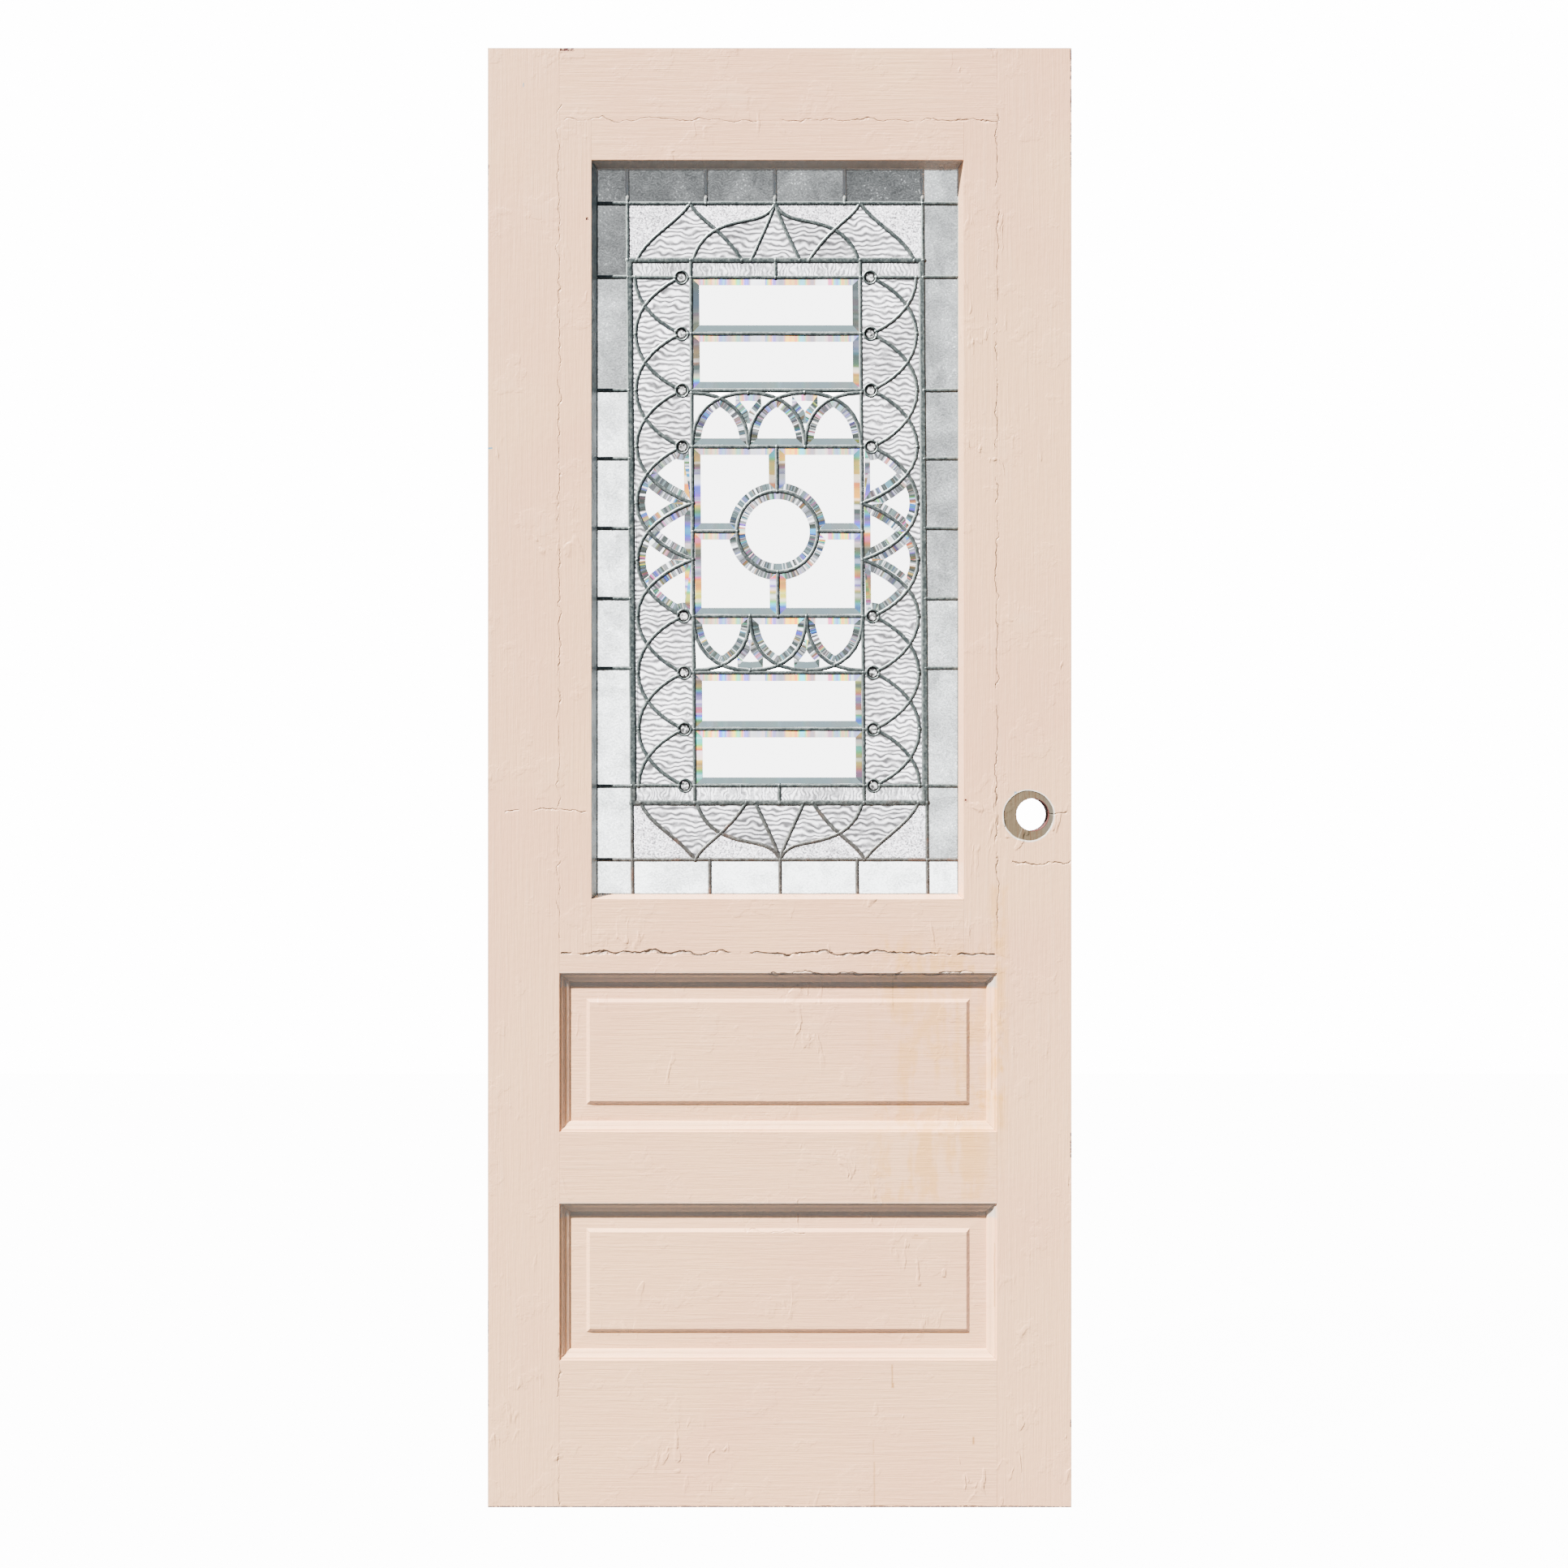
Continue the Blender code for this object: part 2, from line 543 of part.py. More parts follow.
# Quads along a line of points, mitred where it bends, or one disc where a ring is filled by its width
def strip(points, width, closed):
    count = len(points)
    points = [Vector(p) for p in points]
    if closed:
        centre = sum(points, Vector((0, 0))) / count
        radius = (points[0] - centre).length
        if width / 2 > FILLED_RING * radius:
            return [[centre + (p - centre) * (1 + width / 2 / radius) for p in points]]
    sides = []
    for i, point in enumerate(points):
        before = points[i - 1] if closed or i else None
        after = points[(i + 1) % count] if closed or i < count - 1 else None
        first = (point - before).normalized() if before else None
        second = (after - point).normalized() if after else first
        first = first or second
        along = (first + second).normalized()
        normal = Vector((-along.y, along.x)) * (width / 2 / max(MITRE_LIMIT, along.dot(first)))
        sides.append((point - normal, point + normal))
    quads = []
    for i in range(count if closed else count - 1):
        (right0, left0), (right1, left1) = sides[i], sides[(i + 1) % count]
        quad = [right0, right1, left1, left0]
        if not isConvex(quad):
            start, end = points[i], points[(i + 1) % count]
            across = (end - start).orthogonal().normalized() * width / 2
            quad = [start - across, end - across, end + across, start + across]
        quads.append(quad)
    return quads


# The panel seen from in front, divided into lead and glass: (points, triangles, which are lead)
def planOf(cames, widthOf):
    points, quads = [], []
    for line, width, closed in cames:
        for quad in strip(line, widthOf(width), closed):
            quads.append(list(range(len(points), len(points) + len(quad))))
            points.extend(Vector(p) / MM for p in quad)
    found, _, faces, _, _, owners = delaunay_2d_cdt(points, [], quads, 0, MESH_TOLERANCE)
    return [p * MM for p in found], [tuple(f) for f in faces], [bool(owner) for owner in owners]


def triangleArea(points, face):
    a, b, c = (points[i] for i in face)
    return abs((b - a).cross(c - a)) / 2


# Sets of joined glass triangles, one set to a piece of glass
def glassCells(points, faces, isLead):
    byEdge = {}
    for index, face in enumerate(faces):
        if not isLead[index]:
            for i in range(3):
                byEdge.setdefault(frozenset((face[i], face[(i + 1) % 3])), []).append(index)
    cells, seen = [], set()
    for start in range(len(faces)):
        if isLead[start] or start in seen:
            continue
        cell, stack = [], [start]
        seen.add(start)
        while stack:
            index = stack.pop()
            cell.append(index)
            face = faces[index]
            for i in range(3):
                for other in byEdge[frozenset((face[i], face[(i + 1) % 3]))]:
                    if other not in seen:
                        seen.add(other)
                        stack.append(other)
        cells.append(cell)
    return cells


def inside(points, face, target):
    turns = []
    for i in range(3):
        a, b = points[face[i]], points[face[(i + 1) % 3]]
        turns.append((b - a).cross(target - a))
    return min(turns) >= 0 or max(turns) <= 0


def cellAt(points, faces, cells, seed):
    target = Vector(seed)
    for cell in cells:
        if any(inside(points, faces[index], target) for index in cell):
            return cell
    return None


# The closed outlines of a set of triangles, without the points that lie on a straight run
def outlinesOf(points, faces):
    following = {}
    edges = {(face[i], face[(i + 1) % 3]) for face in faces for i in range(3)}
    for a, b in edges:
        if (b, a) not in edges:
            following.setdefault(a, []).append(b)
    outlines = []
    while following:
        start = min(following)
        outline, at = [], start
        while not outline or at != start:
            outline.append(at)
            ends = following[at]
            at = ends.pop()
            if not ends:
                del following[outline[-1]]
        outlines.append(straightened([points[i] for i in outline]))
    return outlines


def straightened(outline):
    kept = []
    for i, point in enumerate(outline):
        before = kept[-1] if kept else outline[i - 1]
        after = outline[(i + 1) % len(outline)]
        if (point - before).length > SAME_POINT:
            if abs((point - before).cross(after - point)) > SAME_POINT * (after - before).length:
                kept.append(point)
    return [tuple(p) for p in kept]


# A plate between two depths on a set of triangles
def plate(name, points, faces, y0, y1, material=None):
    bm = bmesh.new()
    for outline in outlinesOf(points, faces):
        loop = [bm.verts.new((x, y0, z)) for x, z in outline]
        for i, vert in enumerate(loop):
            bm.edges.new((vert, loop[(i + 1) % len(loop)]))
    bmesh.ops.triangle_fill(bm, edges=bm.edges, normal=(0, -1, 0), use_beauty=True)
    grown = bmesh.ops.extrude_face_region(bm, geom=bm.faces[:])
    moved = [v for v in grown["geom"] if isinstance(v, bmesh.types.BMVert)]
    bmesh.ops.translate(bm, verts=moved, vec=(0, y1 - y0, 0))
    return linkObject(name, meshFromBmesh(name, bm), material)


# Where each bevelled or plain-cut glass is: name to a point inside it, in the pattern's plane
def cutGlassSeeds():
    bevels, plain = {}, {}
    rows = (("upper", 4.0), ("second", 3.0), ("third", -3.0), ("lowest", -4.0))
    for name, level in rows:
        bevels["row_bevel_" + name] = (0, level * PITCH)
    for vertical, side in (("upper", 1), ("lower", -1)):
        for i, u in enumerate((-1, 0, 1)):
            bevels[f"arch_bevel_{vertical}_{i + 1}"] = (u * STEP, side * 1.9 * PITCH)
        for i, u in enumerate((-0.5, 0.5)):
            bevels[f"between_bevel_{vertical}_{i + 1}"] = (u * STEP, side * 2.3 * PITCH)
        for horizontal, u in (("left", -1), ("right", 1)):
            plain[f"plain_corner_{vertical}_{horizontal}"] = (u * 1.4 * STEP, side * 2.26 * PITCH)
            bevels[f"square_bevel_{vertical}_{horizontal}"] = (u * STEP, side * PITCH)
    bevels["circle_bevel"] = (0, 0)
    sideWidth = ARC_APEX_U - COLUMN_U
    leaf, shield = COLUMN_U + 0.4 * sideWidth, COLUMN_U + 0.8 * sideWidth
    for horizontal, side in (("left", -1), ("right", 1)):
        for i, level in enumerate((1, 0, -1)):
            bevels[f"leaf_bevel_{horizontal}_{i + 1}"] = (side * leaf, level * PITCH)
        for i, level in enumerate((0.5, -0.5)):
            bevels[f"shield_bevel_{horizontal}_{i + 1}"] = (side * shield, level * PITCH)
    return bevels, plain


# One glass: flat where the came covers it, then rising to its full thickness inside the bevel
def buildBevel(name, covered, sight, raised, material):
    back = FRONT + REVEAL_DEPTH + LEAD_THICKNESS - FLANGE_THICKNESS
    edge = back - PLAIN_GLASS + LAYER_OVERLAP + 2 * GAP
    face = back - PLATE_GLASS
    points, loops = [], []
    for outline in (covered, sight, raised):
        if outline:
            loops.append(list(range(len(points), len(points) + len(outline))))
            points += [Vector(p) / MM for p in outline]
    highest = len(covered) + len(sight)
    found, _, faces, sources, _, _ = delaunay_2d_cdt(points, [], loops, 1, MESH_TOLERANCE)
    isRaised = [any(source >= highest for source in origin) for origin in sources]
    bm = bmesh.new()
    front = [bm.verts.new((p.x * MM, face if up else edge, p.y * MM)) for p, up in zip(found, isRaised)]
    for triangle in faces:
        bm.faces.new([front[i] for i in triangle])
    rim = [e for e in bm.edges if e.is_boundary]
    grown = bmesh.ops.extrude_edge_only(bm, edges=rim)
    low = [v for v in grown["geom"] if isinstance(v, bmesh.types.BMVert)]
    for vert in low:
        vert.co.y = back
    ring = [e for e in bm.edges if e.is_boundary]
    bmesh.ops.contextual_create(bm, geom=ring)
    linkObject(name, meshFromBmesh(name, bm), material)


def buildLeadedPanel(lead, glass):
    cames = allCames()
    near = FRONT + REVEAL_DEPTH + GAP
    far = near + LEAD_THICKNESS
    glassFace = far - PLAIN_GLASS - FLANGE_THICKNESS
    widths = {
        "flange": lambda width: width,
        "heart": lambda width: HEART,
        "clear": lambda width: HEART + 2 * GAP,
        "field": lambda width: width + 2 * BEVEL_WIDTH,
    }
    plans = {}
    for key, widthOf in widths.items():
        points, faces, isLead = planOf(cames, widthOf)
        plans[key] = (points, faces, glassCells(points, faces, isLead))
    bevels, plain = cutGlassSeeds()
    seeds = {name: onDoor([seed])[0] for name, seed in {**bevels, **plain}.items()}

    def solidFaces(key, openCells):
        points, faces, _ = plans[key]
        openFaces = {index for cell in openCells for index in cell}
        return points, [face for index, face in enumerate(faces) if index not in openFaces]

    def bigCells(key):
        points, faces, cells = plans[key]
        return [cell for cell in cells if sum(triangleArea(points, faces[i]) for i in cell) > SMALLEST_GLASS]

    def seededCells(key):
        points, faces, cells = plans[key]
        return [cellAt(points, faces, cells, seed) for seed in seeds.values()]

    def outlineAt(key, seed):
        points, faces, cells = plans[key]
        cell = cellAt(points, faces, cells, seed)
        return outlinesOf(points, [faces[i] for i in cell])[0] if cell else []

    flanges = solidFaces("flange", bigCells("flange"))
    network = plate("lead_and_textured_glass", *flanges, near, glassFace + LAYER_OVERLAP, lead)
    backFlange = far - FLANGE_THICKNESS
    glassLayer = solidFaces("heart", seededCells("heart"))
    middle = plate("glass_layer", *glassLayer, glassFace, backFlange + LAYER_OVERLAP)
    backing = plate("back_layer", *solidFaces("flange", seededCells("flange")), backFlange, far)
    cut(network, asCutter(middle), "UNION", "MANIFOLD")
    cut(network, asCutter(backing), "UNION", "MANIFOLD")
    for name, seed in seeds.items():
        raised = outlineAt("field", seed) if name in bevels else []
        buildBevel(name, outlineAt("clear", seed), outlineAt("flange", seed), raised, glass)


def main():
    clearScene()
    paint = makeMaterial("old cream paint", PAINT, 0.55)
    lead = makeMaterial("lead", LEAD_GREY, 0.5, metallic=0.6)
    glass = makeMaterial("clear glass", CLEAR_GLASS, 0.03, transmission=0.9)
    buildFrame(paint)
    buildPanel("upper_panel", UPPER_OPENING, paint)
    buildPanel("lower_panel", LOWER_OPENING, paint)
    buildFiller(paint)
    buildBeads(paint)
    buildLeadedPanel(lead, glass)


main()
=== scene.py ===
# The looks of an old painted front door with a leaded glass panel. The wood keeps the frame's own
# pieces and gets its paint. The cames, solder, textured glass, jewels and cut glass are new pieces.

import math

import bpy
import bmesh
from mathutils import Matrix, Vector, noise
from mathutils.geometry import delaunay_2d_cdt


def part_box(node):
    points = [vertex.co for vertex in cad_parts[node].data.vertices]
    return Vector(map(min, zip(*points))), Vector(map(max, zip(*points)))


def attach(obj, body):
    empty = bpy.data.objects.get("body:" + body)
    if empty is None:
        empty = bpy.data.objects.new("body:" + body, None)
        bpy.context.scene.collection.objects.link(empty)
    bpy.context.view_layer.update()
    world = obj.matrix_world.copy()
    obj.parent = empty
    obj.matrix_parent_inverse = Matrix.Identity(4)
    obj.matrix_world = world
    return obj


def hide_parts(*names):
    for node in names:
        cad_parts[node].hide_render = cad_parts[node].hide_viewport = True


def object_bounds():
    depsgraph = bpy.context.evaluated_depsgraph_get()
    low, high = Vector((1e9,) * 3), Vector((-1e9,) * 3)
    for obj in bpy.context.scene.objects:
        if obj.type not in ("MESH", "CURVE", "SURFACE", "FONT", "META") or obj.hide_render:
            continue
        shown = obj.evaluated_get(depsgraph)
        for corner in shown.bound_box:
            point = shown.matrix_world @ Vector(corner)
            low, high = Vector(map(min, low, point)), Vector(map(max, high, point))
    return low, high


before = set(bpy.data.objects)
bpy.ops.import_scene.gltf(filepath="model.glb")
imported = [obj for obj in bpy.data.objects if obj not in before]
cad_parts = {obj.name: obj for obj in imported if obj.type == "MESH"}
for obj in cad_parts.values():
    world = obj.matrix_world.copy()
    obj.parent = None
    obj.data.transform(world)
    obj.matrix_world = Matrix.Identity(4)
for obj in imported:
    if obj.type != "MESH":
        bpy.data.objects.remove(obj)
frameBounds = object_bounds()
mm = 0.001

doorLow, doorHigh = frameBounds
panelLow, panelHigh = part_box("lead_and_textured_glass")
panelCentre = (panelLow + panelHigh) / 2
panelHalf = (panelHigh - panelLow) / 2
print("frame loaded:", len(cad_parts), "pieces")


# Makes one node, links the sockets among its inputs and sets the rest
def addNode(tree, kind, inputs=None, **settings):
    node = tree.nodes.new(kind)
    for key, value in settings.items():
        setattr(node, key, value)
    fillInputs(tree, node, inputs or {})
    return node


def fillInputs(tree, node, inputs):
    for key, value in inputs.items():
        if isinstance(value, bpy.types.NodeSocket):
            tree.links.new(value, node.inputs[key])
        else:
            node.inputs[key].default_value = value


def calc(tree, operation, first, second=0.0, third=0.0, clamp=False):
    inputs = {0: first, 1: second, 2: third}
    return addNode(tree, "ShaderNodeMath", inputs, operation=operation, use_clamp=clamp).outputs[0]


def stepUp(tree, value, low, high, toLow=0.0, toHigh=1.0):
    inputs = {0: value, 1: low, 2: high, 3: toLow, 4: toHigh}
    return addNode(tree, "ShaderNodeMapRange", inputs, interpolation_type="SMOOTHSTEP").outputs[0]


def mixNumber(tree, share, first, second):
    return addNode(tree, "ShaderNodeMix", {0: share, 2: first, 3: second}).outputs[0]


def mult(tree, first, second, clamp=False):
    return calc(tree, "MULTIPLY", first, second, clamp=clamp)


def plus(tree, first, second, clamp=False):
    return calc(tree, "ADD", first, second, clamp=clamp)


def minus(tree, first, second):
    return calc(tree, "SUBTRACT", first, second)


def vectorCalc(tree, operation, first, second=(0, 0, 0)):
    return addNode(tree, "ShaderNodeVectorMath", {0: first, 1: second}, operation=operation).outputs[0]


def scaled(tree, position, scale):
    return vectorCalc(tree, "MULTIPLY", position, scale)


def stretched(tree, vector, factor):
    return addNode(tree, "ShaderNodeVectorMath", {0: vector, 3: factor}, operation="SCALE").outputs[0]


def distanceOf(tree, first, second):
    return addNode(tree, "ShaderNodeVectorMath", {0: first, 1: second}, operation="DISTANCE").outputs["Value"]


def attributeOf(tree, name):
    return addNode(tree, "ShaderNodeAttribute", attribute_name=name).outputs["Fac"]


def bumpOf(tree, height, strength, distance):
    inputs = {"Strength": strength, "Distance": distance, "Height": height}
    return addNode(tree, "ShaderNodeBump", inputs).outputs[0]


def partsOf(tree, vector):
    return addNode(tree, "ShaderNodeSeparateXYZ", {0: vector}).outputs


def normalParts(tree, kind="Normal"):
    return partsOf(tree, tree.nodes.new("ShaderNodeNewGeometry").outputs[kind])


def greyOf(tree, value):
    return addNode(tree, "ShaderNodeCombineXYZ", {0: value, 1: value, 2: value}).outputs[0]


def mixColour(tree, factor, first, second, blend="MIX"):
    node = addNode(tree, "ShaderNodeMix", data_type="RGBA", blend_type=blend)
    fillInputs(tree, node, {0: factor, 6: first, 7: second})
    return node.outputs[2]


def noiseOf(tree, position, scale, detail=3.0, roughness=0.55, distortion=0.0):
    inputs = {"Vector": position, "Scale": scale, "Detail": detail, "Roughness": roughness}
    return addNode(tree, "ShaderNodeTexNoise", {**inputs, "Distortion": distortion}).outputs[0]


def rampOf(tree, value, stops):
    node = addNode(tree, "ShaderNodeValToRGB", {0: value})
    ramp = node.color_ramp
    while len(ramp.elements) < len(stops):
        ramp.elements.new(0.5)
    for element, (place, colour) in zip(ramp.elements, stops):
        element.position = place
        element.color = colour
    return node.outputs[0]


def newGroup(name, inputs, outputs):
    tree = bpy.data.node_groups.new(name, "ShaderNodeTree")
    for label, kind, value in inputs:
        socket = tree.interface.new_socket(label, in_out="INPUT", socket_type=kind)
        socket.default_value = value
    for label, kind in outputs:
        tree.interface.new_socket(label, in_out="OUTPUT", socket_type=kind)
    return tree, tree.nodes.new("NodeGroupInput").outputs, tree.nodes.new("NodeGroupOutput").inputs


def useGroup(tree, group, inputs):
    node = tree.nodes.new("ShaderNodeGroup")
    node.node_tree = group
    fillInputs(tree, node, inputs)
    return node.outputs


def newMaterial(name):
    material = bpy.data.materials.new(name)
    material.use_nodes = True
    tree = material.node_tree
    shader = tree.nodes["Principled BSDF"]
    position = tree.nodes.new("ShaderNodeTexCoord").outputs["Object"]
    return material, tree, shader, position


# A box with soft sides: 1 inside, 0 outside
def makeSoftBox():
    sockets = [
        ("Position", "NodeSocketVector", (0, 0, 0)),
        ("Centre", "NodeSocketVector", (0, 0, 0)),
        ("Half", "NodeSocketVector", (0.1, 1.0, 0.1)),
        ("Soft", "NodeSocketFloat", 0.01),
    ]
    tree, given, result = newGroup("soft box", sockets, [("Mask", "NodeSocketFloat")])
    away = vectorCalc(tree, "ABSOLUTE", vectorCalc(tree, "SUBTRACT", given[0], given[1]))
    parts = partsOf(tree, vectorCalc(tree, "SUBTRACT", away, given[2]))
    furthest = calc(tree, "MAXIMUM", calc(tree, "MAXIMUM", parts[0], parts[2]), parts[1])
    inner = mult(tree, given[3], -0.5)
    outer = mult(tree, given[3], 0.5)
    tree.links.new(stepUp(tree, furthest, inner, outer, 1.0, 0.0), result[0])
    return tree


softBox = makeSoftBox()


# The highest of several soft boxes, each (x, z, half width, half height, softness, strength), in millimetres
def boxesOf(tree, position, boxes):
    total = None
    for *sizes, strength in boxes:
        x, z, halfX, halfZ, soft = [size * mm for size in sizes]
        inputs = {"Position": position, "Centre": (x, -1.0, z), "Half": (halfX, 1.0, halfZ), "Soft": soft}
        mask = mult(tree, useGroup(tree, softBox, inputs)[0], strength)
        total = calc(tree, "MAXIMUM", total, mask) if total else mask
    return total


# The old paint, and where its marks are
paintLook = dict(
    cream=(0.93, 0.535, 0.295, 1),
    pink=(0.90, 0.487, 0.282, 1),
    pale=(0.95, 0.63, 0.41, 1),
    ochre=(0.80, 0.40, 0.10, 1),
    drip=(0.42, 0.19, 0.05, 1),
    bareWood=(0.125, 0.088, 0.045, 1),
    bareStreak=(0.105, 0.050, 0.018, 1),
    greyWood=(0.115, 0.100, 0.075, 1),
    primer=(0.85, 0.82, 0.74, 1),
    oldRed=(0.09, 0.012, 0.008, 1),
    crack=(0.36, 0.24, 0.17, 1),
    speck=(0.10, 0.30, 0.42, 1),
    # Painted shade, near black, for the window's reveals
    revealShade=(0.06, 0.065, 0.075, 1),
    # Painted shade and shadow, grey blue, for recesses and under the rails
    shadeTint=(0.30, 0.43, 0.47, 1),
    roughness=0.42,
    relief=2.8 * mm,
)
boreCentre = (0.8534, 0.0, -0.0580)
ringCentre = (0.8473, 0.0, -0.0597)
ringRadius = 0.0395
boreRadius = 0.0262

stains = [
    (700, -440, 85, 170, 90, 1),
    (800, -360, 12, 190, 20, 0.9),
    (640, -290, 20, 40, 30, 0.9),
    (690, -620, 95, 50, 60, 0.8),
    (800, -450, 12, 60, 16, 1.3),
    (780, -505, 20, 18, 20, 1.3),
]
drips = [
    (633.5, -937, 1.2, 18, 2.2, 0.8),
    (634.5, -952, 2, 4, 2.5, 1),
    (604.5, -1048, 1, 11, 2, 0.5),
    (605.5, -1106, 1.2, 34, 2.2, 0.6),
    (761, -1039, 1.6, 6, 2.2, 0.9),
    (640, -313, 2.2, 4, 3, 0.9),
    (635, -340, 1, 25, 2, 0.5),
    (678, -723, 13, 0.8, 1.6, 0.6),
    (672, -719, 3, 1.2, 2, 0.6),
    (790, -430, 1.2, 60, 2, 0.8),
    (794, -780, 1, 50, 2, 0.6),
]
# Chips down both edges, each (height, half length, half width)
hingeChips = [(952, 8, 1.6), (932, 2, 1.2), (921, 3, 1.2), (901, 3, 1.2), (-860, 40, 1.2), (-980, 5, 1.4)]
lockChips = [(1120, 26, 1.6), (1060, 18, 1.2), (1010, 15, 1), (960, 20, 1), (-576, 19, 1.8), (-1012, 6, 1.6)]
chips = [
    (124.5, 1139.5, 11, 2.2, 1.4, 1),
    (360, 1142.5, 7, 1, 1, 1),
    (790, 1142.5, 8, 0.8, 1, 1),
    (457, -1142.5, 457, 1.1, 1, 1),
    (156, 875, 1.8, 1.8, 1.4, 1),
    (749, -35, 1.5, 1.5, 1, 1),
]
for edge, edgeChips in ((doorLow.x / mm, hingeChips), (doorHigh.x / mm, lockChips)):
    chips += [(edge, height, wide, tall, 1, 1) for height, tall, wide in edgeChips]
specks = [
    (56, 1085, 0.7, 3.2, 1.2, 1),
    (3, 516, 4, 1.2, 1.2, 1),
    (827, -24, 2, 2, 2, 1),
]
# Painted shadow: a grey band under each rail, where its shadow falls
paintedRailShadows = [
    (455, -317, 342, 12, 6, 1),
    (455, -678, 342, 12, 6, 1),
]
# Lines along joints, where the paint has split or piled up
splits = [
    (455, -275.5, 340, 1.4, 2.6, 1.5),
    (455, 1030, 345, 0.7, 1.6, 0.45),
    (797.6, 400, 0.7, 650, 1.4, 0.55),
    (111.8, 400, 0.7, 650, 1.4, 0.35),
    (600, -306, 160, 1, 2, 0.8),
    (870, -56, 40, 1, 2, 0.6),
    (870, -133, 45, 1, 2, 0.6),
    (90, -52, 62, 0.8, 1.8, 0.5),
    (111.8, -920, 0.8, 50, 1.4, 0.5),
    (111.8, -1100, 0.8, 40, 1.4, 0.4),
    (450, -713, 50, 0.8, 1.6, 0.3),
]


# The door's position bent by a noise, by its full amount, by less and by more
def bentPositions(tree, position):
    inputs = {"Vector": position, "Scale": 38.0, "Detail": 3.0}
    warped = addNode(tree, "ShaderNodeTexNoise", inputs).outputs[1]
    shift = stretched(tree, vectorCalc(tree, "SUBTRACT", warped, (0.5, 0.5, 0.5)), 0.010)
    return [vectorCalc(tree, "ADD", position, stretched(tree, shift, share)) for share in (1.0, 0.35, 2.2)]


# Cream and pink in broad areas, paler where the brush has left less
def paintCoats(tree, position, brush, patches):
    look = paintLook
    broad = noiseOf(tree, position, 2.6, 3.0, 0.5, 0.6)
    colour = mixColour(tree, stepUp(tree, broad, 0.35, 0.65), look["cream"], look["pink"])
    colour = mixColour(tree, stepUp(tree, brush, 0.52, 0.80, 0.0, 0.35), colour, look["pale"])
    return mixColour(tree, stepUp(tree, patches, 0.60, 0.78, 0.0, 0.22), colour, look["pale"])


# Yellow stains in streaks and blots, and the drips
def addStains(tree, colour, position, wavy, uneven):
    streaks = noiseOf(tree, scaled(tree, wavy, (60.0, 60.0, 7.0)), 1.0, 3.0)
    blots = noiseOf(tree, position, 17.0, 5.0, 0.65, 1.0)
    stained = mult(tree, boxesOf(tree, wavy, stains), stepUp(tree, plus(tree, streaks, blots), 0.86, 1.14))
    colour = mixColour(tree, mult(tree, stained, 0.72, clamp=True), colour, paintLook["ochre"])
    dripped = boxesOf(tree, uneven, drips)
    return mixColour(tree, mult(tree, dripped, 0.8, clamp=True), colour, paintLook["drip"])


# The ring of bare wood round the bore, with primer at its edge and old red paint in the bore
def addBareRing(tree, colour, position, wavy, uneven):
    look = paintLook
    fromRing = distanceOf(tree, scaled(tree, uneven, (1.0, 0.0, 1.0)), ringCentre)
    fromBore = distanceOf(tree, scaled(tree, position, (1.0, 0.0, 1.0)), boreCentre)
    grain = noiseOf(tree, scaled(tree, uneven, (420.0, 420.0, 24.0)), 1.0, 3.0)
    wood = mixColour(tree, stepUp(tree, grain, 0.45, 0.72), look["bareWood"], look["bareStreak"])
    sideways = partsOf(tree, wavy)[0]
    wood = mixColour(tree, stepUp(tree, sideways, 0.858, 0.884, 0.0, 0.75), wood, look["greyWood"])
    primer = stepUp(tree, fromRing, ringRadius + 1.0 * mm, ringRadius + 2.4 * mm, 1.0, 0.0)
    colour = mixColour(tree, mult(tree, primer, 0.8), colour, look["primer"])
    bare = stepUp(tree, fromRing, ringRadius - 1.2 * mm, ringRadius + 0.2 * mm, 1.0, 0.0)
    colour = mixColour(tree, bare, colour, wood)
    within = stepUp(tree, fromBore, boreRadius - 0.4 * mm, boreRadius + 0.2 * mm, 1.0, 0.0)
    return mixColour(tree, within, colour, look["oldRed"]), bare


# Brush marks, lumps and ridges, lower where the paint is split, chipped or gone
def paintHeight(tree, position, brushed, brush, patches, wavy, gone):
    lumps = noiseOf(tree, position, 95.0, 2.0, 0.5)
    ridges = noiseOf(tree, scaled(tree, wavy, (1.0, 1.0, 0.35)), 42.0, 2.0, 0.45, 1.2)
    hairs = noiseOf(tree, stretched(tree, brushed, 2.6), 1.0, 3.0)
    height = plus(tree, mult(tree, brush, 0.24), mult(tree, hairs, 0.09))
    height = plus(tree, height, mult(tree, lumps, 0.12))
    few = stepUp(tree, noiseOf(tree, position, 7.0, 2.0), 0.50, 0.66)
    height = plus(tree, height, mult(tree, few, stepUp(tree, ridges, 0.60, 0.70, 0.0, 0.30)))
    height = plus(tree, height, mult(tree, stepUp(tree, patches, 0.56, 0.62), 0.10))
    for mask, depth in gone:
        height = minus(tree, height, mult(tree, mask, depth))
    return height


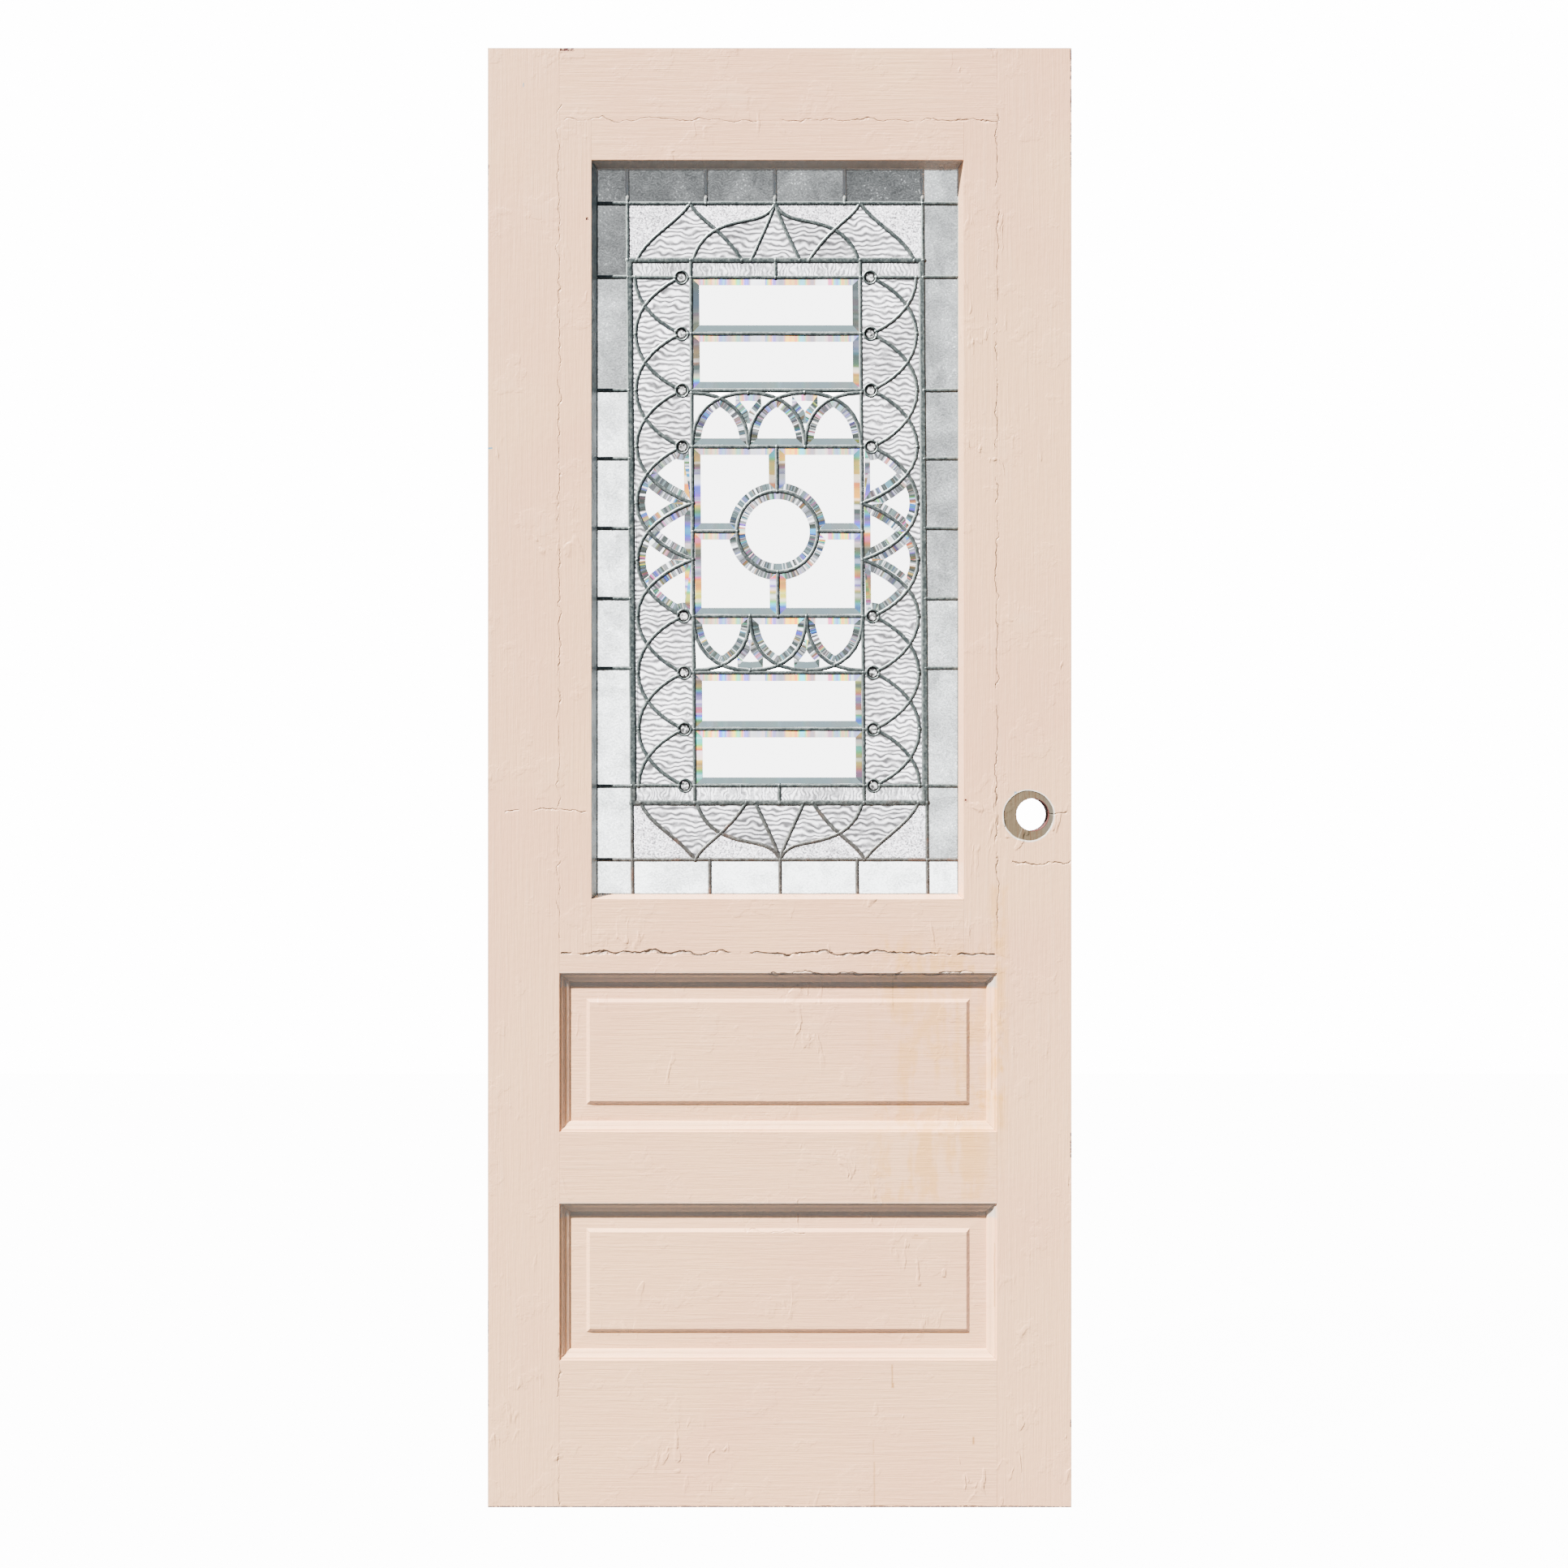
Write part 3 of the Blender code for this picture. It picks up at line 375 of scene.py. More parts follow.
# Colour, height and shine of the old paint, from a position in the door and the brush's direction
def makePaintGroup():
    look = paintLook
    sockets = [("Position", "NodeSocketVector", (0, 0, 0)), ("Brush", "NodeSocketVector", (1, 1, 1))]
    results = [("Colour", "NodeSocketColor"), ("Height", "NodeSocketFloat"), ("Roughness", "NodeSocketFloat")]
    tree, given, result = newGroup("old paint", sockets, results)
    position = given[0]
    wavy, uneven, swaying = bentPositions(tree, position)
    brushed = scaled(tree, position, given[1])
    brush = noiseOf(tree, brushed, 1.0, 4.0, 0.6, 0.4)
    patches = noiseOf(tree, wavy, 14.0, 5.0, 0.6)
    colour = paintCoats(tree, position, brush, patches)
    colour = addStains(tree, colour, position, wavy, uneven)
    broken = stepUp(tree, noiseOf(tree, position, 30.0, 4.0), 0.36, 0.52)
    split = mult(tree, boxesOf(tree, swaying, splits), broken)
    colour = mixColour(tree, mult(tree, split, 0.75, clamp=True), colour, look["crack"])
    ragged = stepUp(tree, noiseOf(tree, position, 260.0), 0.36, 0.5)
    chipped = mult(tree, boxesOf(tree, uneven, chips), ragged)
    colour = mixColour(tree, chipped, colour, look["oldRed"])
    colour = mixColour(tree, boxesOf(tree, uneven, specks), colour, look["speck"])
    colour, bare = addBareRing(tree, colour, position, wavy, uneven)
    gone = [(split, 0.9), (bare, 0.6), (chipped, 0.6)]
    shine = stepUp(tree, patches, 0.3, 0.7, look["roughness"] - 0.06, look["roughness"] + 0.10)
    tree.links.new(colour, result[0])
    tree.links.new(paintHeight(tree, position, brushed, brush, patches, wavy, gone), result[1])
    tree.links.new(calc(tree, "MAXIMUM", shine, mult(tree, bare, 0.75)), result[2])
    return tree


paintGroup = makePaintGroup()


# Painted shade in the window's reveals, on the faces that look away from the light
def paintedRevealShadeOf(tree, place, normal):
    deep = stepUp(tree, place[1], doorLow.y + 0.8 * mm, doorLow.y + 3.0 * mm)
    deep = mult(tree, deep, stepUp(tree, place[2], -0.30, -0.28))
    hingeSide = mult(tree, stepUp(tree, normal[0], 0.3, 0.7), stepUp(tree, place[0], 0.19, 0.20, 0.96, 0.0))
    underside = mult(tree, stepUp(tree, normal[2], -0.7, -0.3, 0.55, 0.0), stepUp(tree, place[2], 0.9, 0.95))
    return mult(tree, deep, calc(tree, "MAXIMUM", hingeSide, underside))


# Painted shade: a grey tint in the recesses that look away from the light, and painted shadow under the rails
def paintedShadeTintOf(tree, position, place, normal):
    turnedAway = minus(tree, mult(tree, normal[0], 0.8), normal[2])
    recess = stepUp(tree, place[1], doorLow.y + 0.8 * mm, doorLow.y + 3.0 * mm, 0.0, 0.45)
    shadeTint = mult(tree, recess, stepUp(tree, turnedAway, 0.25, 0.60))
    return calc(tree, "MAXIMUM", shadeTint, mult(tree, boxesOf(tree, position, paintedRailShadows), 0.55))


def makePaint(name, brush):
    material, tree, shader, position = newMaterial(name)
    made = useGroup(tree, paintGroup, {"Position": position, "Brush": brush})
    place, normal = partsOf(tree, position), normalParts(tree, "True Normal")
    colour = mixColour(tree, paintedRevealShadeOf(tree, place, normal), made[0], paintLook["revealShade"])
    colour = mixColour(tree, paintedShadeTintOf(tree, position, place, normal), colour, paintLook["shadeTint"])
    bump = bumpOf(tree, made[1], 1.0, paintLook["relief"])
    fillInputs(tree, shader, {"Base Color": colour, "Roughness": made[2], "Normal": bump})
    return material


uprightPaint = makePaint("old paint, brushed upright", (260.0, 260.0, 9.0))
levelPaint = makePaint("old paint, brushed across", (9.0, 260.0, 260.0))

uprightNodes = ["hinge_stile", "lock_stile", "filler_hinge_side", "filler_lock_side"]
uprightNodes += ["glazing_bead_hinge_side", "glazing_bead_lock_side"]
glassNodes = [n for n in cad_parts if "bevel_" in n or n.endswith("_bevel") or "plain_corner" in n]
woodNodes = [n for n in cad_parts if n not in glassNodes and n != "lead_and_textured_glass"]
for nodeName in woodNodes:
    paint = uprightPaint if nodeName in uprightNodes else levelPaint
    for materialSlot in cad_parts[nodeName].material_slots:
        materialSlot.material = paint
print("paint on", len(woodNodes), "wooden pieces")


# The leaded panel's pattern, in a plane with its middle at 0. Every came is (points, width, closed)
pattern = dict(
    pitch=89.2 * mm,
    borderU=233.0 * mm,
    borderV=518.3 * mm,
    thickU=230.0 * mm,
    thickV=428.5 * mm,
    arcApexU=222.0 * mm,
    jewelU=149.1 * mm,
    jewelRadius=10.1 * mm,
    jewelDepth=5.0 * mm,
    circleRadius=64.0 * mm,
    lean=-3.8 / 518.3,
    topSplits=(-109.0, 0.0, 110.0),
    bottomSplits=(-111.0, 0.0, 122.0),
    sideSplits=(402.0, 223.0, 115.0, 5.0, -106.0, -216.0, -402.0),
    arcSteps=8,
    sideBow=((0.38, 0.12), (1.0, 0.47)),
    archBow=((0.62, 0.0), (1.0, 0.35)),
    circleSteps=40,
    jewelSteps=18,
)
cames = dict(thin=6.3 * mm, thick=9.5 * mm, edge=9.5 * mm, jewel=3.4 * mm, heart=1.4 * mm, flange=1.8 * mm)
glass = dict(plain=3.4 * mm, plate=6.0 * mm, bevel=10.0 * mm)


def bezier(p0, p1, p2, p3, steps):
    points = []
    for i in range(steps + 1):
        t = i / steps
        a, b, c, d = (1 - t) ** 3, 3 * t * (1 - t) ** 2, 3 * t * t * (1 - t), t**3
        points.append(tuple(a * p0[k] + b * p1[k] + c * p2[k] + d * p3[k] for k in (0, 1)))
    return points


def halfArc(rise, run, bow):
    first, second = [(out * rise, along * run) for out, along in bow]
    return bezier((0, 0), first, second, (rise, run), pattern["arcSteps"])


def ringPoints(u, v, radius, steps):
    turns = [2 * math.pi * (i + 0.5) / steps for i in range(steps)]
    return [(u + radius * math.cos(a), v + radius * math.sin(a)) for a in turns]


def fromRing(points, centre, radius):
    centre = Vector(centre)
    outside = [Vector(p) for p in points if (Vector(p) - centre).length > 1.2 * radius]
    start = centre + (outside[0] - centre).normalized() * radius
    return [tuple(start)] + [tuple(p) for p in outside]


def jewelHeights():
    return [(4.5 - i) * pattern["pitch"] for i in range(10) if i not in (4, 5)]


def straightCames():
    p = pattern
    pitch, thin, thick = p["pitch"], cames["thin"], cames["thick"]
    column, rows = 1.5 * pitch, 4.5 * pitch
    edgeU, edgeV = panelHalf.x - cames["edge"] / 2, panelHalf.z - cames["edge"] / 2
    made = []

    def line(start, end, width=thin):
        made.append(([start, end], width, False))

    for side in (-1, 1):
        line((side * p["borderU"], -edgeV), (side * p["borderU"], edgeV))
        line((-edgeU, side * p["borderV"]), (edgeU, side * p["borderV"]))
        line((side * p["thickU"], -p["thickV"]), (side * p["thickU"], p["thickV"]), thick)
        line((-p["borderU"], side * p["thickV"]), (p["borderU"], side * p["thickV"]), thick)
        line((side * column, -p["thickV"]), (side * column, p["thickV"]))
        line((0, side * rows), (0, side * p["thickV"]))
        line((0, side * p["circleRadius"]), (0, side * column))
        line((side * p["circleRadius"], 0), (side * column, 0))
        for level in (1.5, 2.5, 3.5, 4.5):
            line((-column, side * level * pitch), (column, side * level * pitch))
        for v in (rows, -rows):
            line((side * p["thickU"], v), (side * (p["jewelU"] + p["jewelRadius"]), v))
        for v in jewelHeights():
            line((side * (p["jewelU"] - p["jewelRadius"]), v), (side * column, v))
            ring = ringPoints(side * p["jewelU"], v, p["jewelRadius"], p["jewelSteps"])
            made.append((ring, cames["jewel"], True))
        for v in p["sideSplits"]:
            line((side * p["borderU"], v * mm), (side * edgeU, v * mm))
    for splits, side in ((p["topSplits"], 1), (p["bottomSplits"], -1)):
        for u in splits:
            line((u * mm, side * p["borderV"]), (u * mm, side * edgeV))
    made.append((ringPoints(0, 0, p["circleRadius"], p["circleSteps"]), thin, True))
    return made


def sideArcs():
    made = []
    pitch, jewels = pattern["pitch"], jewelHeights()
    for side in (-1, 1):
        for i in range(10):
            v = (4.5 - i) * pitch
            start = pattern["jewelU"] if v in jewels else 1.5 * pitch
            for way in (-1, 1):
                if abs(v + way * pitch) > 4.6 * pitch:
                    continue
                half = halfArc(pattern["arcApexU"] - start, pitch, pattern["sideBow"])
                points = [(side * (start + out), v + way * along) for out, along in half]
                if v in jewels:
                    points = fromRing(points, (side * start, v), pattern["jewelRadius"])
                made.append((points, cames["thin"], False))
    return made


def centreArches():
    made = []
    pitch = pattern["pitch"]
    for side in (-1, 1):
        for foot in (-1.5, -0.5, 0.5, 1.5):
            for way in (-1, 1):
                if abs(foot + way) > 1.6:
                    continue
                half = halfArc(pitch - cames["thin"] * 0.6, pitch, pattern["archBow"])
                points = [(foot * pitch + way * along, side * (1.5 * pitch + out)) for out, along in half]
                made.append((points, cames["thin"], False))
    return made


def ogees():
    pitch = pattern["pitch"]
    base, top = pattern["thickV"], pattern["borderV"]

    def at(u, share):
        return (u * pitch, base + share * (top - base))

    curves = [
        (at(-2.46, 0), at(-2.28, 0.41), at(-1.8, 0.6), at(-1.5, 1)),
        (at(-1.5, 1), at(-1.36, 0.71), at(-0.95, 0.57), at(-0.59, 0)),
        (at(-1.47, 0), at(-1.32, 0.45), at(-1.06, 0.59), at(-0.56, 0.69)),
        (at(-0.56, 0.69), at(-0.28, 0.74), at(-0.09, 0.78), at(0, 1)),
        (at(0, 1), at(-0.07, 0.74), at(-0.24, 0.42), at(-0.43, 0)),
    ]
    made = []
    for curve in curves:
        points = bezier(*curve, 9)
        for sideU in (-1, 1):
            for sideV in (-1, 1):
                made.append(([(sideU * u, sideV * v) for u, v in points], cames["thin"], False))
    return made


def edgeCame():
    u, v = panelHalf.x - cames["edge"] / 2, panelHalf.z - cames["edge"] / 2
    return ([(-u, -v), (u, -v), (u, v), (-u, v)], cames["edge"], True)


# From the pattern's plane to the door's, with the lean that the real panel has
def onDoor(points, leans=True):
    lean = pattern["lean"] if leans else 0.0
    return [(panelCentre.x + u + lean * v, panelCentre.z + v) for u, v in points]


drawn = straightCames() + sideArcs() + centreArches() + ogees()
allCames = [(onDoor(points), width, closed) for points, width, closed in drawn]
edgePoints, edgeWidth, edgeClosed = edgeCame()
allCames.append((onDoor(edgePoints, False), edgeWidth, edgeClosed))


def isConvex(outline):
    count = len(outline)
    sides = [Vector(outline[(i + 1) % count]) - Vector(outline[i]) for i in range(count)]
    return min(sides[i].cross(sides[(i + 1) % count]) for i in range(count)) > 0


def strip(points, width, closed):
    count = len(points)
    points = [Vector(p) for p in points]
    if closed:
        centre = sum(points, Vector((0, 0))) / count
        radius = (points[0] - centre).length
        if width / 2 > 0.9 * radius:
            return [[centre + (p - centre) * (1 + width / 2 / radius) for p in points]]
    sides = []
    for i, point in enumerate(points):
        before = points[i - 1] if closed or i else None
        after = points[(i + 1) % count] if closed or i < count - 1 else None
        first = (point - before).normalized() if before else None
        second = (after - point).normalized() if after else first
        first = first or second
        along = (first + second).normalized()
        normal = Vector((-along.y, along.x)) * (width / 2 / max(0.5, along.dot(first)))
        sides.append((point - normal, point + normal))
    quads = []
    for i in range(count if closed else count - 1):
        (right0, left0), (right1, left1) = sides[i], sides[(i + 1) % count]
        quad = [right0, right1, left1, left0]
        if not isConvex(quad):
            start, end = points[i], points[(i + 1) % count]
            across = (end - start).orthogonal().normalized() * width / 2
            quad = [start - across, end - across, end + across, start + across]
        quads.append(quad)
    return quads


# The panel seen from in front, cut into lead and glass
def planOf(widthOf):
    points, quads = [], []
    for line, width, closed in allCames:
        for quad in strip(line, widthOf(width), closed):
            quads.append(list(range(len(points), len(points) + len(quad))))
            points.extend(Vector(p) / mm for p in quad)
    found, _, faces, _, _, owners = delaunay_2d_cdt(points, [], quads, 0, 1e-4)
    found = [p * mm for p in found]
    faces = [tuple(f) for f in faces]
    isLead = [bool(owner) for owner in owners]
    return dict(points=found, faces=faces, cells=glassCells(faces, isLead))


def glassCells(faces, isLead):
    byEdge = {}
    for index, face in enumerate(faces):
        if not isLead[index]:
            for i in range(3):
                byEdge.setdefault(frozenset((face[i], face[(i + 1) % 3])), []).append(index)
    cells, seen = [], set()
    for start in range(len(faces)):
        if isLead[start] or start in seen:
            continue
        cell, stack = [], [start]
        seen.add(start)
        while stack:
            index = stack.pop()
            cell.append(index)
            face = faces[index]
            for i in range(3):
                for other in byEdge[frozenset((face[i], face[(i + 1) % 3]))]:
                    if other not in seen:
                        seen.add(other)
                        stack.append(other)
        cells.append(cell)
    return cells


def cornersOf(plan, index):
    return [plan["points"][i] for i in plan["faces"][index]]


# A cell's area, and the sum of its triangles' middles times their areas
def weighed(plan, cell):
    total, moment = 0.0, Vector((0, 0))
    for index in cell:
        a, b, c = cornersOf(plan, index)
        area = abs((b - a).cross(c - a)) / 2
        total += area
        moment += (a + b + c) / 3 * area
    return total, moment


def cellAt(plan, target):
    target = Vector(target)
    for cell in plan["cells"]:
        for index in cell:
            a, b, c = cornersOf(plan, index)
            turns = [(b - a).cross(target - a), (c - b).cross(target - b), (a - c).cross(target - c)]
            if min(turns) >= 0 or max(turns) <= 0:
                return cell
    return None


def outlineOf(plan, cell):
    following = {}
    faces = [plan["faces"][i] for i in cell]
    edges = {(face[i], face[(i + 1) % 3]) for face in faces for i in range(3)}
    for a, b in edges:
        if (b, a) not in edges:
            following[a] = b
    start = min(following)
    outline, at = [], start
    while not outline or at != start:
        outline.append(plan["points"][at])
        at = following[at]
    kept = []
    for i, point in enumerate(outline):
        before = kept[-1] if kept else outline[i - 1]
        after = outline[(i + 1) % len(outline)]
        if (point - before).length > 0.02 * mm:
            if abs((point - before).cross(after - point)) > 0.01 * mm * (after - before).length:
                kept.append(point)
    return kept


flangePlan = planOf(lambda width: width)
heartPlan = planOf(lambda width: cames["heart"])
fieldPlan = planOf(lambda width: width + 2 * glass["bevel"])
print("pattern:", len(allCames), "cames,", len(heartPlan["cells"]), "cells")

panelNear, panelFar = panelLow.y, panelHigh.y
plateBack = panelFar - cames["flange"]
plateFace = plateBack - glass["plain"]


def linked(name, mesh):
    piece = bpy.data.objects.new(name, mesh)
    bpy.context.scene.collection.objects.link(piece)
    return piece


def pickOnly(piece):
    bpy.ops.object.select_all(action="DESELECT")
    piece.select_set(True)
    bpy.context.view_layer.objects.active = piece


def joined(name, pieces):
    bpy.ops.object.select_all(action="DESELECT")
    for piece in pieces:
        piece.select_set(True)
    bpy.context.view_layer.objects.active = pieces[0]
    bpy.ops.object.join()
    made = bpy.context.view_layer.objects.active
    made.name = made.data.name = name
    return made


# The cames and their solder
leadLook = dict(
    crown=2.0 * mm,
    wobble=0.45 * mm,
    step=11 * mm,
    solderShare=0.6885,
    solderWidest=7.5 * mm,
    solderRise=0.55 * mm,
    metal=[
        (0.28, (0.020, 0.027, 0.029, 1)),
        (0.50, (0.062, 0.078, 0.078, 1)),
        (0.72, (0.16, 0.18, 0.175, 1)),
    ],
    # Painted light: a pale grey for the painted highlight on the lit flanks, and a pale lift for the cames in
    # the top reveal's shadow
    highlightGrey=(0.46, 0.52, 0.50, 1),
    paleInRevealShadow=(0.93, 0.92, 0.88, 1),
    rust=(0.20, 0.09, 0.055, 1),
    shade=(0.008, 0.011, 0.013, 1),
)


def makeLead():
    look = leadLook
    material, tree, shader, position = newMaterial("old lead")
    mottle = noiseOf(tree, position, 190.0, 5.0, 0.65, 0.5)
    normal, upright = normalParts(tree), partsOf(tree, position)[2]
    awayFromLight = minus(tree, normal[0], mult(tree, normal[2], 0.6))
    high = stepUp(tree, upright, panelHigh.z - 58 * mm, panelHigh.z - 46 * mm)
    low = stepUp(tree, upright, panelLow.z + 60 * mm, panelLow.z + 200 * mm, 1.0, 0.0)
    # Painted highlight: the upper left flanks, which face the light, are mixed to pale grey, more so higher
    # up
    paintedHighlight = stepUp(tree, awayFromLight, -0.55, -0.12, 0.85, 0.0)
    paintedHighlight = mult(tree, paintedHighlight, stepUp(tree, upright, 0.0, 0.8, 0.35, 1.0))
    colour = mixColour(tree, paintedHighlight, rampOf(tree, mottle, look["metal"]), look["highlightGrey"])
    rusty = plus(tree, stepUp(tree, noiseOf(tree, position, 23.0, 3.0), 0.56, 0.68), 0.35)
    rusty = mult(tree, calc(tree, "MAXIMUM", high, low), rusty, clamp=True)
    # Painted light: the cames under the top reveal, in its shadow, are painted pale
    colour = mixColour(tree, high, colour, look["paleInRevealShadow"])
    colour = mixColour(tree, mult(tree, rusty, 0.45), colour, look["rust"])
    # Painted shade: the cames' edges and their lower right flanks, which look away from the light, are
    # darkened, less under the top reveal
    paintedEdgeShade = stepUp(tree, calc(tree, "ABSOLUTE", normal[1]), 0.25, 0.62, 0.92, 0.0)
    paintedEdgeShade = calc(tree, "MAXIMUM", paintedEdgeShade, stepUp(tree, awayFromLight, 0.14, 0.46, 0.0, 0.92))
    paintedEdgeShade = mult(tree, paintedEdgeShade, minus(tree, 1.0, mult(tree, high, 0.5)))
    fillInputs(tree, shader, {
        "Base Color": mixColour(tree, paintedEdgeShade, colour, look["shade"]),
        "Metallic": 0.35,
        "Roughness": stepUp(tree, mottle, 0.3, 0.7, 0.30, 0.52),
        "Normal": bumpOf(tree, noiseOf(tree, position, 260.0, 4.0, 0.6), 0.7, 0.8 * mm),
    })
    return material


leadMaterial = makeLead()


# A came's cross-section, domed in front and behind
def cameProfile(width):
    half, depth = width / 2, (panelFar - panelNear) / 2
    crown = min(leadLook["crown"], 0.8 * half)
    turns = [math.pi * i / 8 for i in range(9)]
    front = [(-half * math.cos(a), depth - crown * (1 - math.sin(a))) for a in turns]
    outline = front + [(u, -v) for u, v in front[::-1]]
    curve = bpy.data.curves.new("came profile", "CURVE")
    curve.dimensions = "2D"
    spline = curve.splines.new("POLY")
    spline.points.add(len(outline) - 1)
    for point, (u, v) in zip(spline.points, outline):
        point.co = (u, v, 0, 1)
    spline.use_cyclic_u = True
    return linked("came profile", curve)


def dense(points, closed, step):
    path = [Vector(p) for p in points]
    if closed:
        path.append(path[0])
    made = []
    for a, b in zip(path, path[1:]):
        count = max(1, round((b - a).length / step))
        made += [a + (b - a) * (i / count) for i in range(count)]
    return made if closed else made + [path[-1]]


def wobbled(point):
    x, z = point
    away = noise.noise_vector(Vector((x * 22, 0, z * 22)))
    return (x + away.x * leadLook["wobble"], z + away.z * leadLook["wobble"])


def sweepCames(width):
    profile = cameProfile(width)
    curve = bpy.data.curves.new("cames", "CURVE")
    curve.dimensions = "2D"
    curve.fill_mode = "NONE"
    curve.bevel_mode = "OBJECT"
    curve.bevel_object = profile
    curve.use_fill_caps = True
    for points, cameWidth, closed in allCames:
        if cameWidth != width:
            continue
        path = dense(points, closed, leadLook["step"])
        spline = curve.splines.new("POLY")
        spline.points.add(len(path) - 1)
        for point, at in zip(spline.points, path):
            x, z = at if width == cames["edge"] and closed else wobbled(at)
            point.co = (x, z, 0, 1)
            point.radius = 1 + 0.09 * noise.noise(Vector((x * 60, 3, z * 60)))
        spline.use_cyclic_u = closed
    piece = linked("cames", curve)
    pickOnly(piece)
    bpy.ops.object.convert(target="MESH")
    bpy.data.objects.remove(profile, do_unlink=True)
    for vert in piece.data.vertices:
        vert.co = (vert.co.x, panelCentre.y - vert.co.z, vert.co.y)
    return piece


# Where cames meet, so that a blob of solder can cover the joint
def meetings():
    segments = []
    for index, (points, width, closed) in enumerate(allCames):
        path = dense(points, closed, 14 * mm)
        if closed:
            path = path + path[:1]
        segments += [(index, a, b, width) for a, b in zip(path, path[1:])]
    grid, size, apart = {}, 20 * mm, 5 * mm
    for number, (_, a, b, _) in enumerate(segments):
        middle = (a + b) / 2
        for i in (-1, 0, 1):
            for j in (-1, 0, 1):
                key = (math.floor(middle.x / size) + i, math.floor(middle.y / size) + j)
                grid.setdefault(key, []).append(number)
    found = {}
    for index, a, b, width in segments:
        middle = (a + b) / 2
        for other in grid[(math.floor(middle.x / size), math.floor(middle.y / size))]:
            if segments[other][0] <= index:
                continue
            _, c, d, otherWidth = segments[other]
            run, across = b - a, d - c
            turn = run.cross(across)
            if abs(turn) < 0.12 * run.length * across.length:
                continue
            s = (c - a).cross(across) / turn
            t = (c - a).cross(run) / turn
            if -0.25 < s < 1.25 and -0.25 < t < 1.25:
                place = a + run * s
                key = (round(place.x / apart), round(place.y / apart))
                near = [(key[0] + i, key[1] + j) for i in (-1, 0, 1) for j in (-1, 0, 1)]
                if not any(k in found for k in near):
                    found[key] = (place, max(width, otherWidth))
    return list(found.values())


# A ball of radius 1, to shape copies from
def startBall(segments, rings):
    bpy.ops.object.select_all(action="DESELECT")
    bpy.ops.mesh.primitive_uv_sphere_add(segments=segments, ring_count=rings, radius=1, location=(0, 0, 0))
    return bpy.context.object


def makeSolder():
    blob = startBall(12, 8)
    depth = (panelFar - panelNear) / 2 + leadLook["solderRise"]
    blobs = []
    for place, width in meetings():
        copy = linked("solder", blob.data.copy())
        x, z = wobbled(place)
        size = 1 + 0.25 * noise.noise(Vector((x * 90, 7, z * 90)))
        half = min(width, leadLook["solderWidest"]) * leadLook["solderShare"]
        for vert in copy.data.vertices:
            lump = half * (1 + 0.10 * noise.noise(vert.co * 1.7 + Vector((x * 90, 0, z * 90))))
            across, out, up = vert.co
            vert.co = (x + across * size * lump, panelCentre.y + out * depth, z + up / size * lump)
        blobs.append(copy)
    bpy.data.objects.remove(blob, do_unlink=True)
    made = joined("solder", blobs)
    bpy.ops.object.shade_smooth()
    return made


leadParts = [sweepCames(width) for width in sorted({width for _, width, _ in allCames})]
leadWork = joined("lead_cames", leadParts)
bpy.ops.object.shade_smooth_by_angle(angle=math.radians(50))
solder = makeSolder()
for piece in (leadWork, solder):
    piece.data.materials.clear()
    piece.data.materials.append(leadMaterial)
    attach(piece, "root")
    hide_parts("lead_and_textured_glass")
print("lead:", len(leadWork.data.polygons), "faces, solder:", len(solder.data.polygons))


# The textured glasses: their tint, their waves and how strong each mark is
textures = {
    "border_tiles": dict(
        tint=(0.94, 0.985, 1.0), waves=58, bend=19.0, ripple=0.17, dots=1.0, cloud=0.27, grain=0.36),
    "spandrel_glass": dict(
        tint=(0.975, 0.95, 1.0), waves=90, bend=14.0, ripple=0.30, dots=0.8, cloud=0.15, grain=0.95),
    "ripple_glass": dict(
        tint=(0.97, 0.955, 1.0), waves=38, bend=8.5, ripple=0.80, dots=0.5, cloud=0.25, grain=0.22),
    "reeded_glass": dict(
        tint=(0.965, 0.96, 1.0), waves=50, bend=12.0, ripple=0.60, dots=1.0, cloud=0.30, grain=0.40),
}
tones = dict(
    field=0.50,
    ogee=0.86,
    spandrel=1.8,
    topLeast=0.035,
    topMost=0.085,
    foot=0.95,
    darkest=0.075,
    dark=0.22,
    left=0.62,
    right=0.20,
    low=0.34,
)


def fillGlass(tree, shader, colour, roughness):
    inputs = {"Base Color": colour, "Transmission Weight": 1.0, "Roughness": roughness, "IOR": 1.5}
    fillInputs(tree, shader, inputs)


